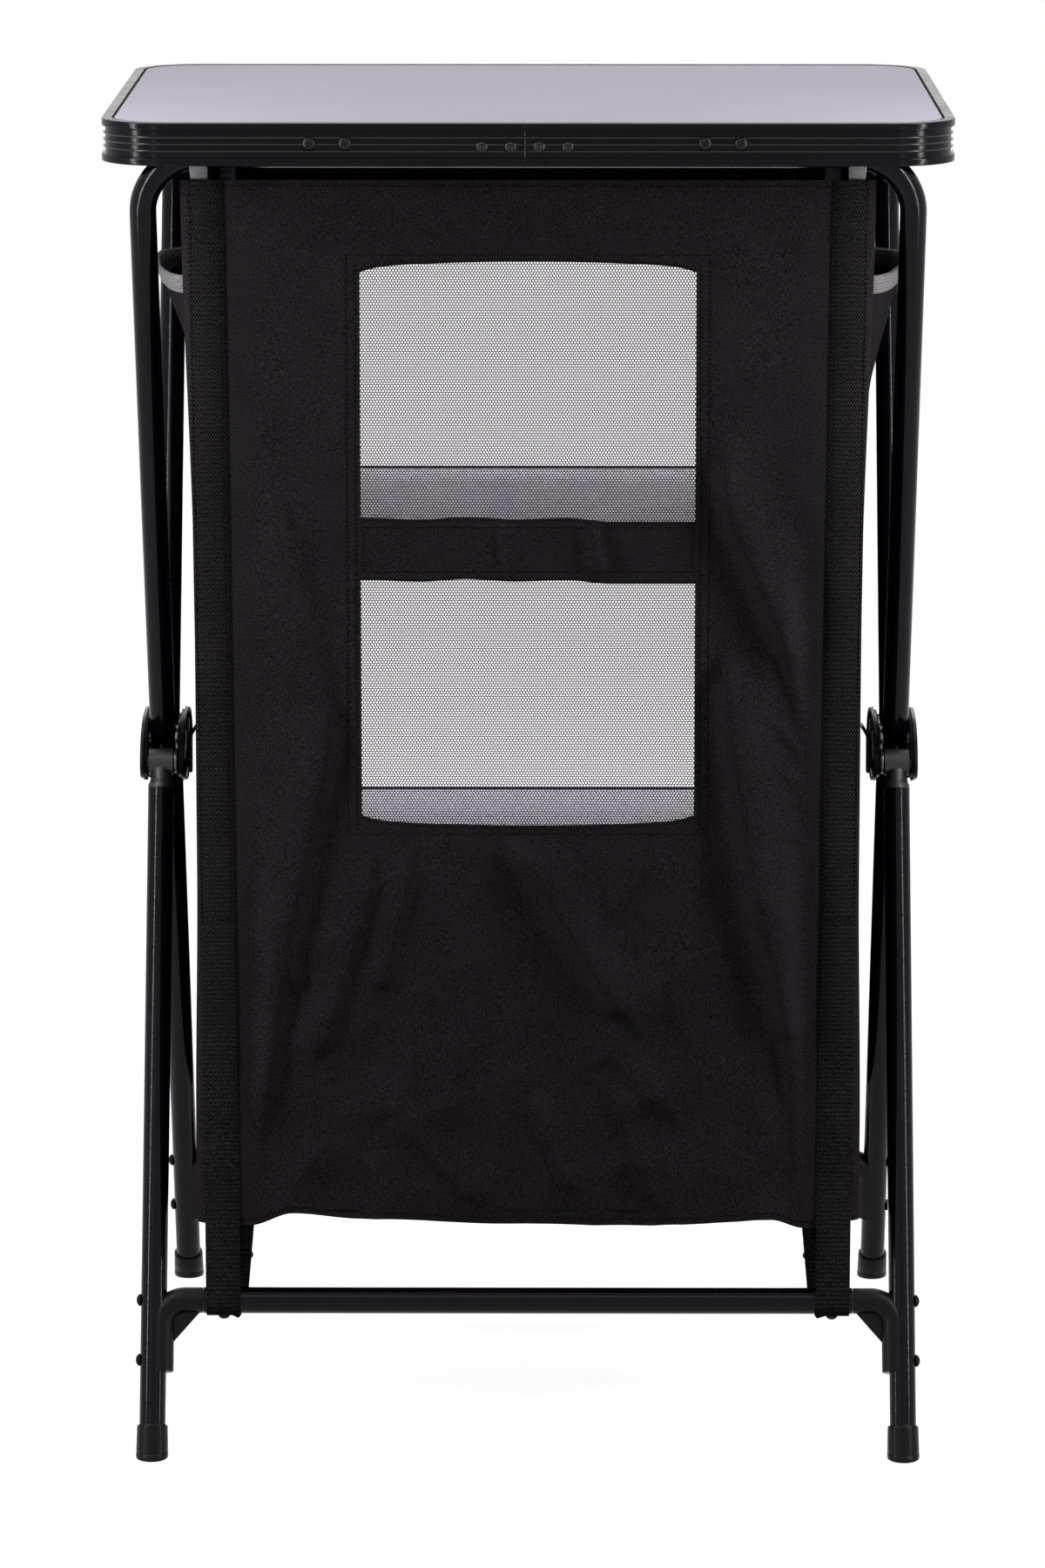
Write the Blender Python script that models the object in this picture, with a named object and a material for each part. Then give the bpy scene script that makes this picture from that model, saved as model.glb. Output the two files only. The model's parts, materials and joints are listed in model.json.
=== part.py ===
"""A folding camp kitchen cupboard, as an assembly of separate pieces.

Two bent tube bows and two pairs of legs turn on pins in a pair of side hubs. They carry a
laminated tabletop with a ribbed rim, and a fabric cupboard with two shelves hangs inside.
Lengths are in metres. Z is up, the open front faces +Y, and the origin is on the floor at
the middle of the stand.
"""

import math

import bmesh
import bpy
from mathutils import Vector

# Clearances and drawing steps
GAP = 0.0003
OVERRUN = 0.004
TUBE_SIDES = 12
SMALL_SIDES = 10
CORNER_STEPS = 6
BEND_STEPS = 5

# Tabletop
TOP_HEIGHT = 0.960
TOP_LENGTH = 0.600
TOP_DEPTH = 0.480
TOP_CORNER = 0.048
RIM_HEIGHT = 0.030
RIM_WALL = 0.0025
RIM_RECESS = 0.0025
RIM_LIP_BAND = 0.0055
RIM_LIP_REACH = 0.009
RIM_SHEET = 0.0012
RIM_LEDGE_REACH = 0.011
RIM_EASE = 0.001
RIB_COUNT = 3
RIB_WIDTH = 0.0016
RIB_PROUD = 0.0013
BOARD_THICK = 0.006
JOINT_X = -0.002
JOINT_SLIT = 0.00045
JOINT_PLATE_LENGTH = 0.090
JOINT_PLATE_HEIGHT = 0.016
JOINT_PLATE_THICK = 0.002
JOINT_PLATE_DROP = 0.0185
RIM_RIVET_PITCH = 0.020
RIM_RIVET_COUNT = 4
RIM_RIVET_DROP = 0.0165
RIM_RIVET_RADIUS = 0.004
RIM_RIVET_HEIGHT = 0.0016
RIM_RIVET_SHANK = 0.0020
RIM_RIVET_TAIL = 0.0028
RIM_RIVET_TAIL_HEIGHT = 0.0009
SEAT_SPREAD = 0.138
SEAT_LENGTH = 0.040
SEAT_SCREW_SPACING = 0.025
SEAT_SCREW_DROP = 0.014
SEAT_SCREW_HEAD = 0.0045
SEAT_SCREW_HEIGHT = 0.0024
SEAT_SCREW_SHANK = 0.0019
SEAT_SCREW_CROWN_SHARE = 0.5
SEAT_SCREW_SHOULDER_SHARES = (0.85, 0.70)
SEAT_SCREW_REACH = 0.0055
SEAT_SKIRT = 0.006

# Tubes of the stand
TUBE_RADIUS = 0.0095
TUBE_WALL = 0.0014
TUBE_X_INSET = 0.029
BOW_BEND = 0.047
BAR_Y_INSET = 0.018
BAR_DROP = 0.023
BOW_TAIL = 0.009
PLUG_HEAD = 0.0035
PLUG_STEM = 0.0038
PLUG_TIP_RADIUS = 0.006

# Side hubs and pivots
UPPER_PIVOT_Y = 0.025
UPPER_PIVOT_Z = 0.486
LOWER_PIVOT_Y = 0.050
LOWER_PIVOT_Z = 0.472
HUB_HALF = 0.060
HUB_TOP_Z = 0.4995
HUB_BOTTOM_Z = 0.4525
HUB_SHEET = 0.0023
HUB_RIM_DEPTH = 0.0049
HUB_RIM_WALL = 0.0019
HUB_OUTER_GAP = 0.0005
WASHER_THICK = 0.0026
WASHER_RADIUS = 0.0085
PIN_RADIUS = 0.004
PIN_HEAD_RADIUS = 0.0058
PIN_HEAD_HEIGHT = 0.0018
PIN_TAIL_RADIUS = 0.0052
PIN_TAIL_HEIGHT = 0.0016
PIN_CROWN = 0.0008
# Half of the hub's outline, from the top middle to the bottom middle, as shares of its
# half width and of its height above the bottom middle
HUB_OUTLINE_SHARES = (
    (0.00, 1.00),
    (0.27, 0.985),
    (0.52, 0.93),
    (0.74, 0.82),
    (0.90, 0.66),
    (0.985, 0.50),
    (1.00, 0.38),
    (0.95, 0.26),
    (0.82, 0.19),
    (0.55, 0.12),
    (0.28, 0.03),
    (0.00, 0.00),
)

# Latch levers on the hubs
LATCH_Z = 0.461
LATCH_HEIGHT = 0.030
LATCH_TAIL = 0.006
LATCH_SHEET = 0.002
LATCH_STAND_OFF = 0.0008
LATCH_HALF_WIDTH = 0.006
LATCH_TIP_HALF_WIDTH = 0.009
LATCH_FLARE = 0.005
LATCH_FLARE_HEIGHT = 0.010
LATCH_STUD_RADIUS = 0.003

# Legs, feet, crossbars and elbows
KNUCKLE_RADIUS = 0.00975
NECK_LENGTH = 0.021
NECK_WAIST = 0.0078
NECK_WAIST_SHARE = 0.60
NECK_ROOT_SHARE = 0.15
NECK_COLLAR_SHARE = 0.82
SPIGOT_LENGTH = 0.020
FOOT_HEIGHT = 0.0255
FOOT_TOP_RADIUS = 0.0112
FOOT_BASE_RADIUS = 0.0117
FOOT_SOLE = 0.017
CROSSBAR_Z = 0.105
CROSSBAR_INSET = 0.036
CROSSBAR_BACK_SHIFT = 0.00094
ELBOW_RADIUS = 0.0093
ELBOW_BEND = 0.017
ELBOW_INSET = 0.0055
ELBOW_END_Z = 0.057
GUSSET_LEG = 0.013
GUSSET_THICK = 0.003
GUSSET_SINK = 0.003
ELBOW_RIVET_HEIGHTS = (0.105, 0.065)
ELBOW_RIVET_RADIUS = 0.0045
ELBOW_RIVET_HEIGHT = 0.003
ELBOW_RIVET_SHANK = 0.002
ELBOW_RIVET_SINK = 0.0022

# Fabric cupboard
FABRIC = 0.0015
CLOTH_TOP_DROP = 0.042
HEM_Z = 0.163
HEM_WAVE = 0.0068
# The back hem's course: places as shares of the waist's half width, rises as shares of the
# hem's wave
HEM_SHARES = (
    (-1.03, -0.50),
    (-0.84, -0.25),
    (-0.72, 1.00),
    (-0.52, 0.40),
    (-0.03, -0.15),
    (0.31, -0.30),
    (0.51, -0.10),
    (0.74, 0.40),
    (0.84, -0.50),
    (1.03, -0.80),
)
BACK_Y_INSET = 0.014
BACK_LEAN = 0.007
BACK_LEAN_HEIGHT = 0.048
FRONT_Y_INSET = 0.022
HALF_TOP_INSET = 0.0265
HALF_WAIST_INSET = 0.0338
HALF_LOW_INSET = 0.0315
WAIST_HIGH_DROP = 0.306
WAIST_LOW_DROP = 0.498
LOW_RISE = 0.066
SEAM_INSET = 0.0075
CORNER_RADIUS = 0.009
WINDOW_HALF = 0.1185
UPPER_WINDOW_DROP = 0.0583
UPPER_WINDOW_HEIGHT = 0.1822
WINDOW_GAP = 0.0445
LOWER_WINDOW_HEIGHT = 0.1773
WINDOW_CURVE = 0.0072
WINDOW_OVERLAP = 0.008
MESH_THICK = 0.0008
FOLD_HEIGHT = 0.005
FOLD_WIDTH = 0.022
FOLD_LIMIT_INSET = 0.020
FOLD_FADE = 0.018
FOLD_END_SHARE = 0.15
FOLD_START_SHARE = 0.5
# Folds of the back cloth: each runs between two places, given as shares of the half width
# and of the cloth's height above its hem, and stands out by a share of the fold height
FOLD_SHARES = (
    (0.54, 0.715, 0.72, 0.595, 0.80),
    (-0.70, 0.66, -0.58, 0.50, 0.50),
    (-0.66, 0.30, -0.30, 0.10, 1.00),
    (0.10, 0.34, 0.34, 0.06, 0.70),
    (0.74, 0.36, 0.52, 0.05, 0.90),
    (-0.20, 0.32, -0.12, 0.16, 0.45),
)

# Webbing, loops and straps
WEBBING_WIDTH = 0.025
WEBBING_THICK = 0.0012
WEBBING_TOP_INSET = 0.0175
WEBBING_LOW_INSET = 0.0195
WEBBING_FREE_DROP = 0.020
LOOP_WIDTH = 0.012
LOOP_INSET = 0.014
LOOP_REACH = 0.060
LOOP_SLACK = 0.0017
TAPE_THICK = 0.0008
STRAP_WIDTH = 0.0085
STRAP_INSET = 0.0178

# Shelves, floor, header and rolled door
SHELF_THICK = 0.005
SHELF_HIGH_DROP = 0.263
SHELF_SPACING = 0.251
SHELF_BACK_GAP = 0.0025
SHELF_FRONT_INSET = 0.005
FLOOR_RISE = 0.009
FLOOR_THICK = 0.002
FLOOR_FRONT_INSET = 0.002
HEADER_HEIGHT = 0.088
ROLL_RADIUS = 0.0275
ROLL_END_INSET = 0.015
ROLL_LOW_DROP = 0.103
TIE_X = 0.120
TIE_WIDTH = 0.020
TIE_SINK = 0.0006

# Side pockets
POCKET_TOP_DROP = 0.076
POCKET_BINDING = 0.027
POCKET_BULGE = 0.0285
POCKET_TOP_CLEAR = 0.0405
POCKET_LOW_CLEAR = 0.0247
POCKET_RIGHT_HEIGHT = 0.162
POCKET_LEFT_HEIGHT = 0.097
POCKET_CROWN_POWER = 0.6
POCKET_COLUMNS = 8
POCKET_ROWS = 5

# Sizes that follow from the ones above
TOP_HALF_X = TOP_LENGTH / 2
TOP_HALF_Y = TOP_DEPTH / 2
WALL_INNER = RIM_RECESS + RIM_WALL
BOARD_TOP_DROP = RIM_SHEET + GAP
LEDGE_DROP = BOARD_TOP_DROP + BOARD_THICK + GAP
BOARD_Z = TOP_HEIGHT - BOARD_TOP_DROP
FIELD_Z = TOP_HEIGHT - GAP
RIM_FACE_Y = TOP_HALF_Y - RIM_RECESS + RIB_PROUD + GAP
BAR_Z = TOP_HEIGHT - BAR_DROP
BAR_Y = TOP_HALF_Y - BAR_Y_INSET
TUBE_X = TOP_HALF_X - TUBE_X_INSET
CROSSBAR_HALF = TUBE_X - CROSSBAR_INSET
TUBE_BORE = TUBE_RADIUS - TUBE_WALL
SPIGOT_RADIUS = TUBE_BORE - GAP
TUBE_OUTER_X = TUBE_X + TUBE_RADIUS
TUBE_INNER_X = TUBE_X - TUBE_RADIUS
OUTER_PLATE_X = TUBE_OUTER_X + HUB_OUTER_GAP
INNER_PLATE_X = TUBE_INNER_X - WASHER_THICK - 2 * GAP
PIN_HOLE = PIN_RADIUS + GAP

# The cloth hangs between the bars and the tubes, so its sizes follow theirs
CLOTH_TOP_Z = TOP_HEIGHT - CLOTH_TOP_DROP
BACK_Y = BAR_Y - BACK_Y_INSET
FRONT_Y = BAR_Y - FRONT_Y_INSET
BACK_LEAN_Z = CLOTH_TOP_Z - BACK_LEAN_HEIGHT
HALF_TOP = TUBE_X - HALF_TOP_INSET
HALF_WAIST = TUBE_X - HALF_WAIST_INSET
HALF_LOW = TUBE_X - HALF_LOW_INSET
WAIST_HIGH_Z = CLOTH_TOP_Z - WAIST_HIGH_DROP
WAIST_LOW_Z = CLOTH_TOP_Z - WAIST_LOW_DROP
LOW_Z = HEM_Z + LOW_RISE
UPPER_WINDOW_HIGH_Z = CLOTH_TOP_Z - UPPER_WINDOW_DROP
UPPER_WINDOW_LOW_Z = UPPER_WINDOW_HIGH_Z - UPPER_WINDOW_HEIGHT
LOWER_WINDOW_HIGH_Z = UPPER_WINDOW_LOW_Z - WINDOW_GAP
LOWER_WINDOW_LOW_Z = LOWER_WINDOW_HIGH_Z - LOWER_WINDOW_HEIGHT
SHELF_HIGH_Z = CLOTH_TOP_Z - SHELF_HIGH_DROP
SHELF_LOW_Z = SHELF_HIGH_Z - SHELF_SPACING
FLOOR_Z = HEM_Z + FLOOR_RISE
WEBBING_TOP_X = HALF_TOP - WEBBING_TOP_INSET
WEBBING_LOW_X = HALF_LOW - WEBBING_LOW_INSET
WEBBING_FREE_Z = SHELF_LOW_Z - WEBBING_FREE_DROP
FOLD_LIMIT = WEBBING_LOW_X - FOLD_LIMIT_INSET
STRAP_X = WEBBING_LOW_X - STRAP_INSET
LOOP_X = HALF_TOP - LOOP_INSET
LOOP_LOW_Z = CLOTH_TOP_Z - LOOP_REACH
HEADER_LOW_Z = CLOTH_TOP_Z - HEADER_HEIGHT
HEADER_OUTER_Y = FRONT_Y + GAP + FABRIC
ROLL_HALF = WEBBING_TOP_X - ROLL_END_INSET
ROLL_LOW_Z = CLOTH_TOP_Z - ROLL_LOW_DROP
POCKET_TOP_Z = CLOTH_TOP_Z - POCKET_TOP_DROP
POCKET_LOW_Z = {-1: POCKET_TOP_Z - POCKET_LEFT_HEIGHT, 1: POCKET_TOP_Z - POCKET_RIGHT_HEIGHT}
BACK_LINE = -1
FRONT_LINE = 1


def material(name, colour, roughness, metallic=0.0):
    """A plain Principled material in the piece's colour."""
    made = bpy.data.materials.new(name)
    made.use_nodes = True
    shader = made.node_tree.nodes["Principled BSDF"]
    shader.inputs["Base Color"].default_value = (*colour, 1.0)
    shader.inputs["Roughness"].default_value = roughness
    shader.inputs["Metallic"].default_value = metallic
    return made


def finish(name, bm, look, pivot=(0, 0, 0), sharp_degrees=35):
    """Turn a bmesh in world places into an object whose origin is at its pivot."""
    bmesh.ops.recalc_face_normals(bm, faces=bm.faces)
    pivot = Vector(pivot)
    bmesh.ops.translate(bm, verts=bm.verts, vec=-pivot)
    mesh = bpy.data.meshes.new(name)
    bm.to_mesh(mesh)
    bm.free()
    mesh.shade_smooth()
    mesh.set_sharp_from_angle(angle=math.radians(sharp_degrees))
    mesh.materials.append(LOOKS[look])
    piece = bpy.data.objects.new(name, mesh)
    piece.location = pivot
    bpy.context.scene.collection.objects.link(piece)
    return piece


def boolean(bm, tool, operation):
    """The bmesh joined with, or cut by, another closed bmesh."""
    objects = []
    for title, shape in (("shape", bm), ("tool", tool)):
        bmesh.ops.recalc_face_normals(shape, faces=shape.faces)
        mesh = bpy.data.meshes.new(title)
        shape.to_mesh(mesh)
        shape.free()
        thing = bpy.data.objects.new(title, mesh)
        bpy.context.scene.collection.objects.link(thing)
        objects.append(thing)
    shape, cutter = objects
    cutter.hide_render = True
    cutter.display_type = "WIRE"
    step = shape.modifiers.new("step", "BOOLEAN")
    step.operation = operation
    step.object = cutter
    step.solver = "EXACT"
    step.use_self = False
    bpy.context.view_layer.update()
    evaluated = shape.evaluated_get(bpy.context.evaluated_depsgraph_get())
    result = bmesh.new()
    result.from_mesh(evaluated.to_mesh())
    evaluated.to_mesh_clear()
    for thing in objects:
        mesh = thing.data
        bpy.data.objects.remove(thing)
        bpy.data.meshes.remove(mesh)
    return result


def loft(bm, rings, closed=False):
    """Skin rings of equally many points, capped at both ends unless the rings close up."""
    rows = [[bm.verts.new(point) for point in ring] for ring in rings]
    count = len(rows[0])
    pairs = list(zip(rows, rows[1:]))
    if closed:
        pairs.append((rows[-1], rows[0]))
    for low, high in pairs:
        for i in range(count):
            j = (i + 1) % count
            bm.faces.new((low[i], low[j], high[j], high[i]))
    if not closed:
        bm.faces.new(list(reversed(rows[0])))
        bm.faces.new(rows[-1])


def box(bm, low, high):
    """A box between two opposite corners, given in any order."""
    (x0, y0, z0), (x1, y1, z1) = low, high
    base = ((x0, y0), (x1, y0), (x1, y1), (x0, y1))
    loft(bm, [[(x, y, z) for x, y in base] for z in (z0, z1)])


def ring_points(centre, side, up, radius, sides):
    """Points of a circle that is spanned by two directions."""
    turns = [2 * math.pi * (i + 0.5) / sides for i in range(sides)]
    return [centre + radius * (math.cos(a) * side + math.sin(a) * up) for a in turns]


def axes_across(axis):
    """Two directions square to an axis."""
    axis = axis.normalized()
    side = Vector((1, 0, 0)) if abs(axis.x) < 0.9 else Vector((0, 1, 0))
    side = (side - axis * side.dot(axis)).normalized()
    return side, axis.cross(side)


def turned(bm, profile, base, axis, sides=TUBE_SIDES, closed=False):
    """A turned solid from (radius, height) pairs above its base."""
    side, up = axes_across(axis)
    rings = [ring_points(base + axis * h, side, up, r, sides) for r, h in profile]
    loft(bm, rings, closed)


def path_frames(path):
    """Tangents of a path and how far a mitre widens it at each point."""
    frames = []
    for i, point in enumerate(path):
        before = (point - path[i - 1]).normalized() if i else None
        after = (path[i + 1] - point).normalized() if i + 1 < len(path) else None
        tangent = ((before or after) + (after or before)).normalized()
        frames.append((point, tangent, 1 / max(tangent.dot(after or before), 0.5)))
    return frames


def tube_rings(path, flat, radii, sides=TUBE_SIDES):
    """Circles along a path that lies in the plane square to the direction flat."""
    rings = []
    for (point, tangent, widen), radius in zip(path_frames(path), radii):
        across = tangent.cross(flat).normalized()
        ring = []
        for i in range(sides):
            angle = 2 * math.pi * (i + 0.5) / sides
            ring.append(point + radius * (math.cos(angle) * flat
                                          + math.sin(angle) * widen * across))
        rings.append(ring)
    return rings


def hollow_tube(bm, path, flat, radius, bore):
    """A tube along a path, open at both ends."""
    outer = tube_rings(path, flat, [radius] * len(path))
    inner = tube_rings(path, flat, [bore] * len(path))
    loft(bm, outer + list(reversed(inner)), closed=True)


def strip(bm, spots, thick):
    """A band across X along spots of (y, z, middle x, half width)."""
    points = [Vector((0, y, z)) for y, z, _, _ in spots]
    rings = []
    for (point, tangent, widen), (_, _, x, half) in zip(path_frames(points), spots):
        off = Vector((1, 0, 0)).cross(tangent) * (thick / 2 * widen)
        left, right = Vector((x - half, 0, 0)), Vector((x + half, 0, 0))
        rings.append([point + left - off, point + right - off,
                      point + right + off, point + left + off])
    loft(bm, rings)


def cloth(bm, outer, inner, is_open=lambda row, column: False):
    """A closed sheet from two grids of points, without the cells that are open.

    Every cell is split along the same diagonal, so that sheets that share their rows and
    columns stay parallel.
    """
    sides = []
    for grid in (outer, inner):
        sides.append([[bm.verts.new(point) for point in row] for row in grid])
    front, back = sides
    edges = {}
    for r in range(len(front) - 1):
        for c in range(len(front[0]) - 1):
            if is_open(r, c):
                continue
            loop = ((r, c), (r, c + 1), (r + 1, c + 1), (r + 1, c))
            for corners in ((0, 1, 2), (0, 2, 3)):
                half = [loop[corner] for corner in corners]
                bm.faces.new([front[i][j] for i, j in half])
                bm.faces.new([back[i][j] for i, j in reversed(half)])
            for start, end in zip(loop, loop[1:] + loop[:1]):
                if (end, start) in edges:
                    del edges[(end, start)]
                else:
                    edges[(start, end)] = True
    for (i, j), (k, m) in edges:
        bm.faces.new((front[k][m], front[i][j], back[i][j], back[k][m]))
    loose = [v for v in bm.verts if not v.link_faces]
    bmesh.ops.delete(bm, geom=loose, context="VERTS")


def arc(centre_u, centre_v, radius, start, end, steps):
    """Points of an arc in a plane, from one angle in degrees to another."""
    points = []
    for i in range(steps + 1):
        angle = math.radians(start + (end - start) * i / steps)
        points.append((centre_u + radius * math.cos(angle),
                       centre_v + radius * math.sin(angle)))
    return points


def tangent_angle(point, centre_u, centre_v, radius, turn):
    """Where a line from a point touches a circle, in degrees; turn is 1 or -1."""
    u, v = point[0] - centre_u, point[1] - centre_v
    reach = math.acos(min(radius / math.hypot(u, v), 1))
    return math.degrees(math.atan2(v, u) + turn * reach)


def spread(low, high, steps):
    """Evenly spaced values from low to high."""
    return [low + (high - low) * i / steps for i in range(steps + 1)]


def smooth(share):
    """A soft step from 0 to 1."""
    share = min(max(share, 0.0), 1.0)
    return share * share * (3 - 2 * share)


def outset(points, distance):
    """A closed outline moved outwards; a negative distance moves it inwards."""
    area = sum(a[0] * b[1] - b[0] * a[1] for a, b in zip(points, points[1:] + points[:1]))
    turn = 1 if area > 0 else -1
    moved = []
    for i, point in enumerate(points):
        before = (Vector(point) - Vector(points[i - 1])).normalized()
        after = (Vector(points[(i + 1) % len(points)]) - Vector(point)).normalized()
        normal = (Vector((before.y, -before.x)) + Vector((after.y, -after.x))).normalized()
        reach = distance * turn / max(normal.dot(Vector((before.y, -before.x))), 0.5)
        moved.append(tuple(Vector(point) + normal * reach))
    return moved


class Link:
    """A leaning link in a plane across X: its pivot, its direction and its outer side."""

    def __init__(self, line, pivot_y, pivot_z, end_y, end_z):
        self.pivot = Vector((0, line * pivot_y, pivot_z))
        run = Vector((0, line * end_y, end_z)) - self.pivot
        self.length = run.length
        self.along = run.normalized()
        self.flat = Vector((1, 0, 0)).cross(self.along)

    def at(self, x, run, off=0.0):
        """The place at a distance along the link, moved off its plane if asked."""
        return self.pivot + Vector((x, 0, 0)) + self.along * run + self.flat * off

    def run_at_height(self, z):
        """How far along the link it reaches a height."""
        return (z - self.pivot.z) / self.along.z


def upper_link(line):
    return Link(line, UPPER_PIVOT_Y, UPPER_PIVOT_Z, BAR_Y, BAR_Z)


def lower_link(line):
    """The leg that brings its crossbar straight below the back cloth."""
    run = BACK_Y - CROSSBAR_BACK_SHIFT - LOWER_PIVOT_Y
    foot_y = LOWER_PIVOT_Y + run * LOWER_PIVOT_Z / (LOWER_PIVOT_Z - CROSSBAR_Z)
    return Link(line, LOWER_PIVOT_Y, LOWER_PIVOT_Z, foot_y, 0)


def line_name(line):
    return "back" if line == BACK_LINE else "front"


def side_name(side):
    return "left" if side < 0 else "right"


# Tabletop
def rim_stations():
    """Places and outward directions round the rim, from one side of its joint to the other."""
    stations = [(JOINT_X + JOINT_SLIT / 2, -TOP_HALF_Y, 0, -1)]
    corners = ((1, -1, -90), (1, 1, 0), (-1, 1, 90), (-1, -1, 180))
    for side, line, start in corners:
        x = side * (TOP_HALF_X - TOP_CORNER)
        y = line * (TOP_HALF_Y - TOP_CORNER)
        for i in range(CORNER_STEPS + 1):
            angle = math.radians(start + 90 * i / CORNER_STEPS)
            u, v = math.cos(angle), math.sin(angle)
            stations.append((x + TOP_CORNER * u, y + TOP_CORNER * v, u, v))
    stations.append((JOINT_X - JOINT_SLIT / 2, -TOP_HALF_Y, 0, -1))
    return stations


def rim_section():
    """The rim's section as (distance inwards, distance down from the top)."""
    ease = RIM_EASE
    points = [(RIM_LIP_REACH, 0), (ease, 0), (0, ease), (0, RIM_LIP_BAND - ease),
              (ease, RIM_LIP_BAND), (RIM_RECESS, RIM_LIP_BAND)]
    low = RIM_HEIGHT - RIM_LIP_BAND
    pitch = (low - RIM_LIP_BAND) / (RIB_COUNT + 1)
    for i in range(RIB_COUNT):
        middle = RIM_LIP_BAND + pitch * (i + 1)
        for u, w in ((0, -1), (1, -1), (1, 1), (0, 1)):
            points.append((RIM_RECESS - u * RIB_PROUD, middle + w * RIB_WIDTH / 2))
    points += [(RIM_RECESS, low), (ease, low), (0, low + ease), (0, RIM_HEIGHT - ease),
               (ease, RIM_HEIGHT), (WALL_INNER, RIM_HEIGHT)]
    ledge = LEDGE_DROP + RIM_SHEET
    points += [(WALL_INNER, ledge), (RIM_LEDGE_REACH, ledge), (RIM_LEDGE_REACH, LEDGE_DROP),
               (WALL_INNER, LEDGE_DROP), (WALL_INNER, RIM_SHEET), (RIM_LIP_REACH, RIM_SHEET)]
    return points


def rim_fastener_places():
    """Where the rivets of the rim joint and the screws of the bar seats pass the rim."""
    middle = (RIM_RIVET_COUNT - 1) / 2
    rivets = [(JOINT_X + RIM_RIVET_PITCH * (i - middle), BACK_LINE)
              for i in range(RIM_RIVET_COUNT)]
    screws = [(JOINT_X + side * SEAT_SPREAD + half * SEAT_SCREW_SPACING / 2, line)
              for line in (BACK_LINE, FRONT_LINE) for side in (-1, 1) for half in (-1, 1)]
    return rivets, screws


def fastener_holes(places, drop, radius):
    """Cutters through the rim's wall and what lies behind it."""
    holes = bmesh.new()
    for x, line in places:
        start = Vector((x, line * (TOP_HALF_Y + OVERRUN), TOP_HEIGHT - drop))
        turned(holes, [(radius, 0), (radius, OVERRUN + TOP_HALF_Y - BAR_Y)],
               start, Vector((0, -line, 0)), SMALL_SIDES)
    return holes


def board_ring(inset, z):
    """The tabletop's rounded outline at a distance inside its edge."""
    ring = []
    for side, line, start in ((1, -1, -90), (1, 1, 0), (-1, 1, 90), (-1, -1, 180)):
        corner = arc(side * (TOP_HALF_X - TOP_CORNER), line * (TOP_HALF_Y - TOP_CORNER),
                     TOP_CORNER - inset, start, start + 90, CORNER_STEPS)
        ring += [(x, y, z) for x, y in corner]
    return ring


def build_tabletop():
    """The board, whose edge is rebated under the rim's lip, and the rim round it."""
    rivets, screws = rim_fastener_places()
    board = bmesh.new()
    edge, field = WALL_INNER + GAP, RIM_LIP_REACH + GAP
    loft(board, [board_ring(edge, BOARD_Z - BOARD_THICK), board_ring(edge, BOARD_Z),
                 board_ring(field, BOARD_Z), board_ring(field, FIELD_Z)])
    finish("tabletop_board", board, "laminate", (0, 0, FIELD_Z))

    rim = bmesh.new()
    section = rim_section()
    loft(rim, [[(x - u * nx, y - u * ny, TOP_HEIGHT - w) for u, w in section]
               for x, y, nx, ny in rim_stations()])
    rim = boolean(rim, fastener_holes(rivets, RIM_RIVET_DROP, RIM_RIVET_SHANK + GAP),
                  "DIFFERENCE")
    rim = boolean(rim, fastener_holes(screws, SEAT_SCREW_DROP, SEAT_SCREW_SHANK + GAP),
                  "DIFFERENCE")
    finish("edge_profile", rim, "rim_metal", (0, 0, FIELD_Z))


def build_joint_plate():
    """The plate behind the rim's joint, with the four rivets that hold it."""
    rivets, _ = rim_fastener_places()
    plate = bmesh.new()
    plate_y = -TOP_HALF_Y + WALL_INNER + GAP
    plate_z = TOP_HEIGHT - JOINT_PLATE_DROP
    rivet_z = TOP_HEIGHT - RIM_RIVET_DROP
    half = JOINT_PLATE_HEIGHT / 2
    box(plate, (JOINT_X - JOINT_PLATE_LENGTH / 2, plate_y, plate_z - half),
        (JOINT_X + JOINT_PLATE_LENGTH / 2, plate_y + JOINT_PLATE_THICK, plate_z + half))
    tail = RIM_FACE_Y + plate_y + JOINT_PLATE_THICK
    dome = [(RIM_RIVET_RADIUS * math.cos(a), RIM_RIVET_HEIGHT * math.sin(a))
            for a in (math.radians(75), math.radians(45), 0)]
    profile = dome + [(RIM_RIVET_SHANK, 0), (RIM_RIVET_SHANK, -tail),
                      (RIM_RIVET_TAIL, -tail),
                      (RIM_RIVET_TAIL, -tail - RIM_RIVET_TAIL_HEIGHT)]
    for x, line in rivets:
        rivet = bmesh.new()
        turned(rivet, profile, Vector((x, line * RIM_FACE_Y, rivet_z)),
               Vector((0, line, 0)), SMALL_SIDES)
        plate = boolean(plate, rivet, "UNION")
    finish("edge_joint_plate", plate, "rim_metal", (0, 0, BOARD_Z))


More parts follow.
